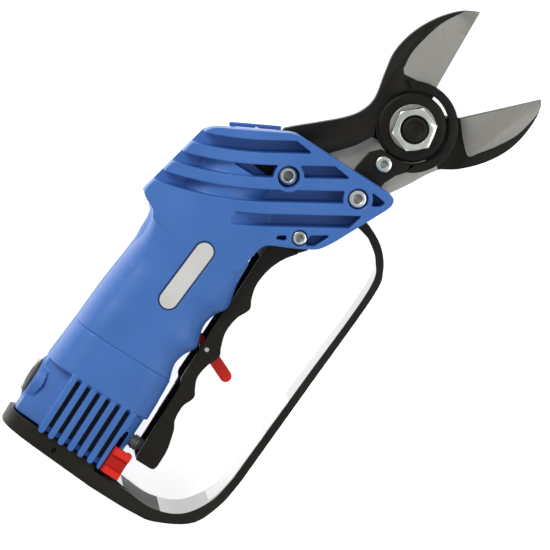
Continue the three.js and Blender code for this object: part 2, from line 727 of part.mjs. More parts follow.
function build() {
  piece("right_housing_shell", handleShell(RIGHT), BLUE);
  piece("left_housing_shell", handleShell(LEFT), BLUE);
  piece("right_motor_cover", coverShell(RIGHT), BLUE);
  piece("left_motor_cover", coverShell(LEFT), BLUE);
  piece("base_guard", baseGuard(), BLACK);
  piece("badge_plate", plate(badgeOutline(0), CHEEK_Z - 0.4, CHEEK_Z + 0.2), PALE);
  piece("moving_blade", movingBlade(), DARK_STEEL);
  piece("fixed_blade", fixedBlade(), DARK_STEEL);
  piece("guide_plate", guidePlate(), DARK_STEEL);
  piece("thrust_disc", thrustDisc(), DARK_STEEL);
  piece("pivot_washer", pivotWasher(), ZINC);
  piece("pivot_nut", pivotNut(), ZINC);
  piece("pivot_bolt", pivotBolt(), DARK_STEEL);
  piece("finger_lever", fingerLever(), BLACK);
  piece("trigger_lock", triggerLock(), RED);
  piece("power_slider", powerSlider(), RED);
  piece("service_cap", serviceCap(), BLACK);
  piece("power_inlet", powerInlet(), BLACK);
  for (const well of WELLS) {
    const { centre, shank, head, floor, name } = well;
    piece(name, socketScrew(centre, shank, head, shank * 2, floor + GAP, -floor - shank * 1.6 - 0.4), ZINC);
    piece(name + "_nut", shellNut(well), ZINC);
  }
  piece("guide_screw", socketScrew(GUIDE_SCREW, 2, 3.8, 2.2, GUIDE_Z + 3.3, -BLADE_T - 0.4), ZINC);
  piece("guide_spacer", guideSpacer(), STEEL);
  piece("right_clamp_block", clampBlock(0.1, MECHANISM_Z - GAP), STEEL);
  piece("left_clamp_block", clampBlock(-MECHANISM_Z + GAP, -BLADE_T - 0.5), STEEL);
  piece("clamp_pin", rod("z", [166, -32], 2, -MECHANISM_Z + GAP, MECHANISM_Z - GAP), STEEL);
  piece("link_pin", linkPin(), STEEL);
  piece("right_drive_link", driveLink(RIGHT), STEEL);
  piece("left_drive_link", driveLink(LEFT), STEEL);
  piece("screw_nut", screwNut(), BRASS);
  piece("ball_screw", ballScrew(), STEEL);
  piece("screw_bearing", ring([SCREW_Y, 0], 9, 3.3, 92.9, 100.4), STEEL);
  piece("bearing_carrier", ring([SCREW_Y, 0], 13, 9.3, 92.6, 100.8), PALE);
  piece("gearbox", gearbox(), STEEL);
  piece("motor", motor(), STEEL);
  piece("control_board", box(66, 88, 20.2, 21.8, -12, 12), GREEN);
  piece("trigger_sensor_board", box(37, 52, -13.6, -12.2, -7, 7), GREEN);
  piece("plunger", plunger(), STEEL);
  piece("plunger_bush", plungerBush(), STEEL);
  piece("plunger_spring", coil([PLUNGER_X, 0], 2.6, 0.8, -18, -13.2, 4), STEEL);
  piece("lock_pin", rod("z", LOCK_PIVOT, 1, -LEVER_Z + 0.1, LEVER_Z - 0.1, 16), ZINC);
}

build();

const bounds = new THREE.Box3().setFromObject(tool);
const middle = bounds.getCenter(new THREE.Vector3());
tool.position.set(-middle.x, -middle.y, -bounds.min.z);
root.updateMatrixWorld(true);

export default root;
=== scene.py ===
"""The finished look of the battery electric pruner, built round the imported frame."""
import json
import math

import bmesh
import bpy
from mathutils import Matrix, Vector


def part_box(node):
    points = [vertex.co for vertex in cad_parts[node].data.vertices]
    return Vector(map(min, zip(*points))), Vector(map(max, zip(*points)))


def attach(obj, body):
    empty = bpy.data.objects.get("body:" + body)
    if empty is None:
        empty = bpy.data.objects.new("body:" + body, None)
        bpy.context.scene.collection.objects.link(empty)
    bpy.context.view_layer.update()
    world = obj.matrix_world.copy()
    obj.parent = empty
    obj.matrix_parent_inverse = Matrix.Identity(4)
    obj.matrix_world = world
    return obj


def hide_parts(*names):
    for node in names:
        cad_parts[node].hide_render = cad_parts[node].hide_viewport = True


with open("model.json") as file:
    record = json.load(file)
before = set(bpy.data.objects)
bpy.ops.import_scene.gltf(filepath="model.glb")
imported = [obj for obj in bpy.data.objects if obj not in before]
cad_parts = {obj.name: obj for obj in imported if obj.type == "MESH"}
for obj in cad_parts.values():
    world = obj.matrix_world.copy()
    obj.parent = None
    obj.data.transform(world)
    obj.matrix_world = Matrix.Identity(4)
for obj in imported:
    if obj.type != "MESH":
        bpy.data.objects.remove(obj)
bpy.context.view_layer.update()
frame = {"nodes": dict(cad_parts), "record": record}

MM = 0.001
WALL = 2.6  # thickness of the moulded walls, mm
GAP = 0.3  # clearance between neighbouring pieces, mm
FAR = 400  # beyond every part of the tool, mm

# ---- Driving dimensions, mm, in the drawing frame: X along the handle, Z = 0 on the parting plane ----
PIVOT = (218.5, -52.5)
CHEEK_Z = 24
ABOVE_Z = CHEEK_Z + 5  # top of a cutter that opens through the cheek
VENT_Z = 21.5
BASE_X = 3
COVER_X = 13.8
SKIRT_X = 42
SEAM_X = 63.2
NECK_X = 113
SLOT_FLOOR_Z = 13
POCKET_FLOOR_Z = 15.5
DRAFT_Z = 14
MECHANISM_Z = 11
BARREL_Y, BARREL_R, BARREL_END_X = 4, 21.6, 162
MOTOR_Y = 5
HUB_R = 16.4
DISC_R = 15.5
BOLT_R = 5.6
BLADE_T = 5
GUIDE_Z = BLADE_T + 0.5
LINK_PIN_R, EYE_PLAY = 2.4, 3.05
ARM_EYE = (181.46, -11.53)
LEVER_Z = 13
BAY_Z = LEVER_Z + 0.7  # half depth of the bay the lever swings in
LEVER_PIVOT = (149.5, -35.3)
LOCK_PIVOT = (83.6, -28.7)
HEAD_SCREW = (170.1, -16.1)
FRONT_SCREW = (178.5, -47.8)
GUIDE_SCREW = (197.4, -50.6)
RIB_ANGLE = -57
SLOT_TOP, SLOT_PITCH, SLOT_W = 16.4, 11.1, 5.6
VENT_PITCH, VENT_COUNT, VENT_RIB = 5.2, 6, 1.5
GUARD_Z = 21.4
PLUNGER_X = 29.2
CAP_X, CAP_R = 30, 8.75

bolt_low, bolt_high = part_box("pivot_bolt")
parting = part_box("left_housing_shell")[1].z + GAP / 2 * MM
ORIGIN = Vector(
    (
        (bolt_low.x + bolt_high.x) / 2 - PIVOT[0] * MM,
        (bolt_low.y + bolt_high.y) / 2 - PIVOT[1] * MM,
        parting,
    )
)


# ---- Curves and outlines, mm ----
def smooth(points, steps=10):
    """A Catmull-Rom curve through a few points."""
    last = len(points) - 1
    found = []
    for i in range(last):
        a, b = Vector(points[max(i - 1, 0)]), Vector(points[i])
        c, d = Vector(points[i + 1]), Vector(points[min(i + 2, last)])
        for k in range(steps):
            t = k / steps
            p = b * 2 + (c - a) * t
            p += (a * 2 - b * 5 + c * 4 - d) * t**2
            p += (b * 3 - a - c * 3 + d) * t**3
            found.append(tuple(p / 2))
    found.append(tuple(points[last]))
    return found


def arc(centre, r, start, end, steps=24):
    angles = [math.radians(start + (end - start) * i / steps) for i in range(steps + 1)]
    return [(centre[0] + r * math.cos(a), centre[1] + r * math.sin(a)) for a in angles]


def height_at(curve, x):
    """y of a curve whose x rises along it."""
    for (x0, y0), (x1, y1) in zip(curve, curve[1:]):
        if x <= x1:
            return y0 + (y1 - y0) * max(x - x0, 0) / (x1 - x0)
    return curve[-1][1]


def section(x, back, front, half_z, inset=0.0, square=3.4, sides=120):
    """An oval across the handle at x, the closer to a rectangle the higher its square."""
    power = 2 / square
    half_y = (back - front) / 2 - inset
    ring = []
    for i in range(sides):
        a = 2 * math.pi * i / sides
        c, s = math.cos(a), math.sin(a)
        y = math.copysign(abs(c) ** power, c) * half_y + (back + front) / 2
        ring.append((x, y, math.copysign(abs(s) ** power, s) * (half_z - inset)))
    return ring


def inside(point, outline):
    """Whether a point lies in a closed outline."""
    x, y = point
    found = False
    for (x0, y0), (x1, y1) in zip(outline, outline[1:] + outline[:1]):
        if (y0 > y) != (y1 > y) and x < x0 + (x1 - x0) * (y - y0) / (y1 - y0):
            found = not found
    return found


# ---- Solids ----
def place(point):
    return ORIGIN + Vector(point) * MM


def new_object(name, bm):
    bmesh.ops.recalc_face_normals(bm, faces=bm.faces)
    mesh = bpy.data.meshes.new(name)
    bm.to_mesh(mesh)
    bm.free()
    made = bpy.data.objects.new(name, mesh)
    bpy.context.scene.collection.objects.link(made)
    return made


def prism(outline, z0, z1, rim=0.0, segments=5):
    """A plate of an XY outline between two heights, its rims rounded by rim."""
    bm = bmesh.new()
    base = [bm.verts.new(place((x, y, z0))) for x, y in outline]
    top = [bm.verts.new(place((x, y, z1))) for x, y in outline]
    low, high = bm.faces.new(base), bm.faces.new(top)
    count = len(base)
    for i in range(count):
        j = (i + 1) % count
        bm.faces.new((base[i], base[j], top[j], top[i]))
    if rim:
        edges = list(low.edges) + list(high.edges)
        bmesh.ops.bevel(
            bm, geom=edges, offset=rim * MM, segments=segments, profile=0.5,
            affect="EDGES", clamp_overlap=True,
        )
    return new_object("solid", bm)


def box(x0, x1, y0, y1, z0, z1):
    return prism([(x0, y0), (x1, y0), (x1, y1), (x0, y1)], z0, z1)


def loft(rings):
    """A skin over a row of closed rings with equal point counts."""
    bm = bmesh.new()
    rows = [[bm.verts.new(place(p)) for p in ring] for ring in rings]
    count = len(rows[0])
    for a, b in zip(rows, rows[1:]):
        for i in range(count):
            j = (i + 1) % count
            bm.faces.new((a[i], a[j], b[j], b[i]))
    bm.faces.new(rows[0])
    bm.faces.new(rows[-1])
    return new_object("solid", bm)


def turned(axis, centre, profile, sides=72):
    """A turned solid: profile holds (radius, height) pairs along the axis, from one closed end to the other."""
    bm = bmesh.new()
    rows = []
    for r, h in profile:
        row = []
        for i in range(sides if r > 0 else 1):
            a = 2 * math.pi * i / sides
            c, s = r * math.cos(a), r * math.sin(a)
            point = {
                "x": (h, centre[0] + c, centre[1] + s),
                "y": (centre[0] + c, h, centre[1] + s),
                "z": (centre[0] + c, centre[1] + s, h),
            }[axis]
            row.append(bm.verts.new(place(point)))
        rows.append(row)
    for a, b in zip(rows, rows[1:]):
        for i in range(sides):
            j = (i + 1) % sides
            if len(a) == 1 and len(b) > 1:
                bm.faces.new((a[0], b[j], b[i]))
            elif len(b) == 1 and len(a) > 1:
                bm.faces.new((a[i], a[j], b[0]))
            elif len(a) > 1:
                bm.faces.new((a[i], a[j], b[j], b[i]))
    for row in (rows[0], rows[-1]):
        if len(row) > 1:
            bm.faces.new(row)
    return new_object("solid", bm)


def rod(axis, centre, r, low, high, sides=72):
    return turned(axis, centre, [(r, low), (r, high)], sides)


def chamfered(r, low, high, c=0.5, steps=4):
    """The profile of a rod whose two rims are rounded by c."""
    profile = []
    for i in range(steps + 1):
        a = math.pi / 2 * i / steps
        profile.append((r - c + c * math.sin(a), low + c - c * math.cos(a)))
    for i in range(steps + 1):
        a = math.pi / 2 * i / steps
        profile.append((r - c + c * math.cos(a), high - c + c * math.sin(a)))
    return profile


def drop(obj):
    mesh = obj.data
    bpy.data.objects.remove(obj)
    if mesh.users == 0:
        bpy.data.meshes.remove(mesh)


def settle(obj):
    """Applies every modifier on obj."""
    bpy.context.view_layer.update()
    graph = bpy.context.evaluated_depsgraph_get()
    old = obj.data
    obj.data = bpy.data.meshes.new_from_object(obj.evaluated_get(graph))
    obj.modifiers.clear()
    bpy.data.meshes.remove(old)
    return obj


def combine(body, operation, *tools):
    for tool in tools:
        modifier = body.modifiers.new("combine", "BOOLEAN")
        modifier.operation = operation
        modifier.solver = "EXACT"
        modifier.object = tool
        settle(body)
        drop(tool)
    return body


def cut(body, *tools):
    return combine(body, "DIFFERENCE", *tools)


def join(body, *tools):
    return combine(body, "UNION", *tools)


def keep(body, tool):
    return combine(body, "INTERSECT", tool)


def duplicate(obj):
    copy = obj.copy()
    copy.data = obj.data.copy()
    bpy.context.scene.collection.objects.link(copy)
    return copy


def flip(solid):
    """The mirror copy of a solid on the other side of the parting plane."""
    copy = duplicate(solid)
    mirror = Matrix.Translation((0, 0, 2 * ORIGIN.z)) @ Matrix.Diagonal((1, 1, -1, 1))
    copy.data.transform(mirror)
    copy.data.flip_normals()
    return copy


def soften(body, voxel, passes):
    """One even skin with its edges rounded, as a moulding has."""
    remesh = body.modifiers.new("skin", "REMESH")
    remesh.mode = "VOXEL"
    remesh.voxel_size = voxel * MM
    relax = body.modifiers.new("relax", "SMOOTH")
    relax.factor = 0.5
    relax.iterations = passes
    settle(body)
    body.data.shade_smooth()
    return body


def crisp(body, width, segments=2, angle=35):
    """Small even bevels on the sharp edges of a metal piece."""
    bevel = body.modifiers.new("edges", "BEVEL")
    bevel.width = width * MM
    bevel.segments = segments
    bevel.limit_method = "ANGLE"
    bevel.angle_limit = math.radians(angle)
    bevel.use_clamp_overlap = True
    bevel.harden_normals = False
    settle(body)
    body.data.shade_smooth()
    body.data.set_sharp_from_angle(angle=math.radians(28))
    return body


def finish_piece(obj, name, body, material, *nodes, slot=None):
    obj.name = name
    obj.data.name = name
    if not obj.data.materials:
        obj.data.materials.append(material)
    else:
        obj.data.materials[0] = material
    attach(obj, body)
    if nodes:
        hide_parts(*nodes)
    return obj


def paint_faces(obj, materials, *tests):
    """Appends the materials, and puts the second on the faces the first test accepts, the third for the next test."""
    for made in materials:
        obj.data.materials.append(made)
    for face in obj.data.polygons:
        at = (face.center - ORIGIN) / MM
        for index, accepts in enumerate(tests, 1):
            if accepts(at, face.normal):
                face.material_index = index


# ---- Materials ----
def material(
    name, base, alt, rough, metallic=0.0, mottle=45.0, grain=1800.0, bump=0.03,
    spread=0.06, edge=None, highlight_share=0.5, streak=None, specks=None, coat=0.0, specular=0.5,
):
    """A procedural finish: mottled colour, uneven gloss and a fine grain, with a painted highlight, a lighter edge
    colour, on sharp edges where edge is given.
    """
    made = bpy.data.materials.new(name)
    made.use_nodes = True
    nodes, links = made.node_tree.nodes, made.node_tree.links
    nodes.clear()
    out = nodes.new("ShaderNodeOutputMaterial")
    shader = nodes.new("ShaderNodeBsdfPrincipled")
    links.new(shader.outputs["BSDF"], out.inputs["Surface"])
    shader.inputs["Metallic"].default_value = metallic
    shader.inputs["Specular IOR Level"].default_value = specular
    shader.inputs["Coat Weight"].default_value = coat
    place_in = nodes.new("ShaderNodeTexCoord")
    where = place_in.outputs["Object"]
    if streak:
        mapping = nodes.new("ShaderNodeMapping")
        mapping.inputs["Rotation"].default_value = (0, 0, math.radians(streak[0]))
        mapping.inputs["Scale"].default_value = (streak[1], streak[2], streak[2])
        links.new(where, mapping.inputs["Vector"])
        where = mapping.outputs["Vector"]

    def noise_of(scale, detail, source):
        found = nodes.new("ShaderNodeTexNoise")
        found.inputs["Scale"].default_value = scale
        found.inputs["Detail"].default_value = detail
        links.new(source, found.inputs["Vector"])
        return found.outputs["Fac"]

    def ranged(source, low, high, to_low, to_high):
        found = nodes.new("ShaderNodeMapRange")
        for key, value in (("From Min", low), ("From Max", high), ("To Min", to_low), ("To Max", to_high)):
            found.inputs[key].default_value = value
        links.new(source, found.inputs["Value"])
        return found.outputs["Result"]

    def blended(factor, a, b):
        found = nodes.new("ShaderNodeMix")
        found.data_type = "RGBA"
        links.new(factor, found.inputs["Factor"])
        for socket, value in ((found.inputs[6], a), (found.inputs[7], b)):
            if hasattr(value, "is_linked"):
                links.new(value, socket)
            else:
                socket.default_value = (*value, 1)
        return found.outputs[2]

    clouds = noise_of(mottle, 4.0, where)
    colour = blended(ranged(clouds, 0.35, 0.65, 0, 1), base, alt)
    if specks:
        spots = noise_of(specks[1], 2.0, place_in.outputs["Object"])
        colour = blended(ranged(spots, specks[2], specks[2] + 0.03, 0, specks[3]), colour, specks[0])
    # Painted highlight: where Pointiness is high, on sharp convex edges, the colour blends towards the lighter edge
    # colour.
    if edge:
        shape = nodes.new("ShaderNodeNewGeometry")
        rim = ranged(shape.outputs["Pointiness"], 0.57, 0.66, 0, highlight_share)
        colour = blended(rim, colour, edge)
    links.new(colour, shader.inputs["Base Color"])
    links.new(ranged(clouds, 0.3, 0.7, rough - spread, rough + spread), shader.inputs["Roughness"])
    fine = nodes.new("ShaderNodeBump")
    fine.inputs["Strength"].default_value = 0.6
    fine.inputs["Distance"].default_value = bump * MM
    links.new(noise_of(grain, 3.0, where), fine.inputs["Height"])
    links.new(fine.outputs["Normal"], shader.inputs["Normal"])
    return made


# The edge colours given below are painted highlight on sharp edges.
BLUE = material(
    "blue_nylon", (0.047, 0.150, 0.46), (0.058, 0.172, 0.51), 0.40, mottle=30, grain=2200, bump=0.02,
    edge=(0.13, 0.29, 0.70), highlight_share=0.4, specular=0.38,
)
BLACK = material(
    "black_nylon", (0.011, 0.0095, 0.0065), (0.015, 0.013, 0.009), 0.46, mottle=40, grain=1600, bump=0.03,
    edge=(0.09, 0.07, 0.05), highlight_share=0.35, specular=0.2,
)
GLOSS_BLACK = material(
    "gloss_black", (0.02, 0.02, 0.019), (0.035, 0.035, 0.034), 0.12, mottle=25, grain=700, bump=0.01,
    streak=(0, 0.2, 6), spread=0.03, coat=0.9, specular=0.6,
)
RED = material(
    "red_plastic", (0.72, 0.020, 0.010), (0.80, 0.026, 0.014), 0.36, mottle=60, grain=2000, bump=0.015,
    edge=(0.95, 0.12, 0.08), highlight_share=0.4, specular=0.3,
)
# A darker red, painted shade for the slider's hollow between its ridges.
RED_PAINTED_SHADE = material(
    "red_plastic_painted_shade", (0.42, 0.010, 0.006), (0.50, 0.013, 0.007), 0.42, mottle=60, grain=2000, bump=0.015,
    specular=0.2,
)
GROUND = material(
    "ground_steel", (0.275, 0.268, 0.245), (0.305, 0.298, 0.272), 0.42, metallic=0.4, mottle=260, grain=2600,
    bump=0.008, streak=(-37, 1, 7), spread=0.03, specks=((0.16, 0.09, 0.05), 620, 0.74, 0.8),
)
# Steel for the lower blade's tang and neck, made lighter than the ground steel as painted light against the head's
# shadow on it.
TANG_PAINTED_LIGHT = material(
    "tang_steel_painted_light", (0.52, 0.51, 0.47), (0.58, 0.57, 0.52), 0.45, metallic=0.15, mottle=260, grain=2600,
    bump=0.008, streak=(-37, 1, 7), spread=0.03, specks=((0.16, 0.09, 0.05), 620, 0.72, 0.8),
)
COATED = material(
    "coated_steel", (0.007, 0.006, 0.0045), (0.011, 0.0095, 0.007), 0.42, mottle=90, grain=1400, bump=0.03,
    edge=(0.022, 0.019, 0.015), highlight_share=0.4, specks=((0.10, 0.05, 0.025), 480, 0.75, 0.6), specular=0.2,
)
ZINC = material(
    "zinc_plate", (0.70, 0.75, 0.70), (0.82, 0.86, 0.81), 0.24, metallic=1.0, mottle=160, grain=1500, bump=0.012,
    spread=0.06, edge=(0.97, 0.98, 0.97), highlight_share=0.6,
)
# Near-white zinc, a painted highlight for the sloped faces of the pivot nut.
ZINC_HIGHLIGHT = material(
    "zinc_painted_highlight", (0.93, 0.95, 0.93), (0.97, 0.98, 0.97), 0.2, mottle=160, grain=1500, bump=0.005, specular=0.8,
)
DULL_ZINC = material(
    "dull_zinc", (0.30, 0.295, 0.26), (0.40, 0.39, 0.35), 0.38, metallic=0.6, mottle=220, grain=1800, bump=0.02,
)
# Light grey, a painted highlight for the lever's rounded back edge.
GLINT = material(
    "black_nylon_painted_highlight", (0.20, 0.20, 0.19), (0.26, 0.26, 0.25), 0.3, mottle=200, grain=1600, bump=0.01,
)
SOCKET = material(
    "socket_shade", (0.24, 0.25, 0.24), (0.34, 0.35, 0.34), 0.45, metallic=0.7, mottle=300, grain=1800, bump=0.02,
)
TURNED = material(
    "turned_steel", (0.50, 0.49, 0.45), (0.62, 0.61, 0.56), 0.34, metallic=0.5, mottle=300, grain=2400, bump=0.02,
)
BRONZE = material(
    "bronze", (0.42, 0.26, 0.10), (0.56, 0.36, 0.15), 0.35, metallic=1.0, mottle=200, grain=1800, bump=0.02,
)
BOARD = material(
    "circuit_board", (0.01, 0.10, 0.04), (0.02, 0.17, 0.07), 0.35, mottle=900, grain=2500, bump=0.03,
)
PALE = material(
    "badge_face", (0.60, 0.60, 0.58), (0.68, 0.68, 0.66), 0.22, mottle=60, grain=900, bump=0.01, coat=0.6,
)
NAVY = material(
    "badge_border", (0.012, 0.016, 0.07), (0.018, 0.024, 0.10), 0.3, mottle=60, grain=900, bump=0.01,
)
CARRIER = material(
    "carrier_plastic", (0.45, 0.45, 0.42), (0.52, 0.52, 0.49), 0.5, mottle=70, grain=1500, bump=0.03,
)
LABEL = material(
    "label_film", (0.86, 0.86, 0.84), (0.92, 0.92, 0.90), 0.3, mottle=80, grain=1100, bump=0.01, coat=1.0,
)


# ---- Housing ----
GRIP_FRONT = smooth(
    [
        (SEAM_X, -23.2), (70, -21.2), (76, -22.2), (82, -25.4), (87, -23.8), (93, -22.8), (99, -24.2),
        (104, -27), (109, -26), (116, -24), (128, -22.8),
    ]
)
GRIP_BACK = smooth([(SEAM_X, 28), (83, 27), (103, 25), (113, 24), (121, 25), (128, 27)])
HEAD_OUTLINE = [
    (NECK_X + 8, -20),
    *smooth(
        [(132, -22), (136.5, -22.9), (139.6, -25.8), (143, -33), (147.5, -41.5), (150.6, -45.6), (156.2, -49.2)], 6
    ),
    *smooth([(181, -61.2), (184.6, -62.2), (187.4, -61), (188.1, -57.5)], 5),
    *smooth([(188.2, -9), (187.4, -6.2), (186, -3.6)], 3),
    *smooth([(175, 16.8), (171.6, 23.2), (168.8, 26.2), (165, 28)], 5),
    *smooth([(132, 35.3), (129.2, 34.8), (127.2, 32.2), (125.4, 28), (122.6, 26), (NECK_X + 8.4, 25)], 4),
    (NECK_X + 8, 20),
]
HEAD_CAVITY = [
    (NECK_X - 6, -17.5), (134.5, -17.5), (136, -26), (140, -52), (150.5, -52), (153, -44.3), (182.2, -58.2),
    (188, -68), (215, -68), (215, 40), (173, 40), (169.5, 21.5), (131.5, 29.6), (126, 22.8), (NECK_X - 6, 20.5),
]
RIB = math.radians(RIB_ANGLE)


def rib_point(p, q):
    return (
        HEAD_SCREW[0] + p * math.cos(RIB) - q * math.sin(RIB),
        HEAD_SCREW[1] + p * math.sin(RIB) + q * math.cos(RIB),
    )


def rib_edge(base, p):
    return base - 0.03 * p + 0.0032 * min(0, p + 8) ** 2


def rib_slot(row, start, end, lean, steps=24):
    """Outline of a slot between two ribs, whose front end slants by lean."""
    top = SLOT_TOP - row * SLOT_PITCH
    along = [start + (end - start) * i / steps for i in range(steps + 1)]
    upper = [(p, rib_edge(top, p)) for p in along]
    upper[-1] = (end - max(lean, 0), upper[-1][1])
    lower = [(p, rib_edge(top - SLOT_W, p)) for p in along]
    lower[-1] = (end + min(lean, 0), lower[-1][1])
    return [rib_point(p, q) for p, q in upper if p <= upper[-1][0]] + [
        rib_point(p, q) for p, q in reversed(lower) if p <= lower[-1][0]
    ]


RAMP = (-26, -8)  # stretch along the last slot where its floor comes down from the cheek
SLOTS = [
    rib_slot(0, -50, 10.8, 6.9),
    rib_slot(1, -58, -4, 0),
    rib_slot(1, 4, 28, 7),
    rib_slot(2, -66, 25, 0),
    rib_slot(3, RAMP[1] - 0.1, 33, -5.8),
    [rib_point(*c) for c in ((35.8, -5.8), (39.6, -8.8), (43.6, -12.2), (41.6, -13.7), (36.4, -13.6))],
]
POCKETS = [
    [rib_point(*c) for c in ((-4.9, -26.4), (-1.2, -26.4), (-1.2, -28.8), (-6.4, -27.8))],
    [rib_point(*c) for c in ((9.5, -26.5), (19, -26.5), (11.6, -31.5), (7.4, -31.1))],
]
# Edges of the head that slope in towards the left cheek, each with how far it has come in there.
DRAFTS = [((132, 35.3), (165, 28), 4.2), ((166, 29.5), (175, 18), 4.6), ((175, 16.8), (187, -6), 5)]
WELLS = [(HEAD_SCREW, 5, 13, 6.9, 2.5), (FRONT_SCREW, 4.7, 17, 6.7, 2.5), (LEVER_PIVOT, 3.7, 18.6, 0, 2)]


def grip(inset):
    """The grip, whose section squares up where it runs into the head."""
    start = SEAM_X + (-5 if inset else 0.03)
    rings = []
    for i in range(65):
        x = start + (127.5 - start) * i / 64
        at = max(x, SEAM_X)
        square = 3.4 + 8 * max(0, (x - 98) / 29.5) ** 2
        rings.append(section(x, height_at(GRIP_BACK, at), height_at(GRIP_FRONT, at), CHEEK_Z, inset, square))
    return loft(rings)


def slot_ramp():
    """The part of the last slot whose floor slopes, with a slanted end."""
    top = SLOT_TOP - 3 * SLOT_PITCH
    low = top - SLOT_W
    rings = []
    for i in range(13):
        t = i / 12
        p = RAMP[0] + (RAMP[1] - RAMP[0]) * t
        floor = CHEEK_Z + 0.2 + (SLOT_FLOOR_Z - CHEEK_Z - 0.2) * t
        ring = []
        for q, shift, z in ((top, 1, floor), (top, 1, ABOVE_Z), (low, -2, ABOVE_Z), (low, -2, floor)):
            at = p + shift * (1 - t)
            ring.append((*rib_point(at, rib_edge(q, at)), z))
        rings.append(ring)
    return loft(rings)


def edge_frame(start, end):
    """Direction, outward normal and length of an edge of the head."""
    along = Vector((end[0] - start[0], end[1] - start[1]))
    length = along.length
    along.normalize()
    return along, Vector((-along.y, along.x)), length


def draft_cut(start, end, depth):
    """A cutter for everything outside the sloping plane of one edge."""
    along, out, length = edge_frame(start, end)
    low = -CHEEK_Z - 2
    rings = []
    for t in (-1, 2):
        base = Vector(start) + along * length * t
        corners = ((0, DRAFT_Z), (-depth, -CHEEK_Z), (-depth, low), (40, low), (40, DRAFT_Z))
        rings.append([(base.x + out.x * n, base.y + out.y * n, z) for n, z in corners])
    return loft(rings)


def lip():
    """A thin bar along the nose of the left cheek, held at its ends."""
    start, end, depth = DRAFTS[2]
    along, out, _ = edge_frame(start, end)

    def block(s0, s1, n0, n1):
        corners = [Vector(start) + along * s + out * n for s, n in ((s0, n0), (s1, n0), (s1, n1), (s0, n1))]
        return prism([tuple(c) for c in corners], -CHEEK_Z + 0.1, -CHEEK_Z + 2.6)

    return block(0.8, 24.6, -3.1, -1.2), block(1.4, 3.2, -depth - 1.5, -1.4), block(22.6, 24.4, -depth - 1.5, -1.4)


def handle_body():
    """Both halves of the handle and head as one hollow moulding."""
    body = join(prism(HEAD_OUTLINE, -CHEEK_Z, CHEEK_Z), grip(0))
    slots = [prism(outline, SLOT_FLOOR_Z, ABOVE_Z) for outline in SLOTS]
    slots += [prism(outline, POCKET_FLOOR_Z, ABOVE_Z) for outline in POCKETS]
    for slot in [*slots, slot_ramp()]:
        body = cut(body, flip(slot), slot)
    barrel = turned(
        "x", (BARREL_Y, 0), [(BARREL_R - 1, NECK_X - 8), (BARREL_R, NECK_X), (BARREL_R, BARREL_END_X)], 120
    )
    body = join(body, barrel)
    for centre, _, _, boss, _ in WELLS:
        if boss:
            body = join(body, rod("z", centre, boss, -CHEEK_Z + 0.1, CHEEK_Z - 0.1, 96))
    bay = prism(
        [(SEAM_X - 2, -17.6), (SEAM_X - 2, -40), (147, -60), (152, -44), (140, -17.6)], -BAY_Z, BAY_Z
    )
    inner = keep(grip(WALL), box(-FAR, NECK_X + 12, -FAR, FAR, -FAR, FAR))
    cavity = prism(HEAD_CAVITY, -MECHANISM_Z, MECHANISM_Z)
    socket = box(164.9, 171.7, -64, -52.6, -9.2, 9.2)
    body = cut(body, inner, cavity, bay, socket)
    body = join(body, box(SEAM_X + 0.5, 134, -17.6, -15.4, -LEVER_Z - 3, LEVER_Z + 3))
    for centre, r, floor, _, shank in WELLS:
        well = turned("z", centre, [(r, floor), (r, CHEEK_Z - 0.7), (r + 0.5, CHEEK_Z + 2)], 96)
        body = cut(body, flip(well), well, rod("z", centre, shank + GAP, -floor - 1, floor + 1, 48))
    return join(cut(body, *[draft_cut(*draft) for draft in DRAFTS]), *lip())


def see_through():
    """The deep corner beside the rear screw boss that opens into the mechanism."""
    corners = [rib_point(*c) for c in ((-16.2, 5.2), (-6.2, 4.6), (-6.2, -0.8), (-8, -0.8))]
    return prism(corners, MECHANISM_Z - 2, SLOT_FLOOR_Z + 1)


def badge_outline(grow):
    lean = -3.8
    centre = Vector((107.9, -1.4))
    along = Vector((math.cos(math.radians(lean)), math.sin(math.radians(lean)))) * 13.4
    r = 4.7 + grow
    return arc(centre + along, r, lean - 90, lean + 90) + arc(centre - along, r, lean + 90, lean + 270)


def halves(body):
    """The two halves of a moulding on each side of the parting plane, with the word for each; uses the moulding up."""
    for word, low, high in (("right", GAP / 2, FAR), ("left", -FAR, -GAP / 2)):
        yield word, keep(duplicate(body), box(-FAR, FAR, -FAR, FAR, low, high))
    drop(body)


def housing():
    for word, part in halves(handle_body()):
        if word == "right":
            cut(part, prism(badge_outline(0.25), CHEEK_Z - 0.7, CHEEK_Z + 2), see_through())
        soften(part, 0.42, 3)
        finish_piece(part, f"{word}_housing", "housing", BLUE, f"{word}_housing_shell", slot="blue_shell")


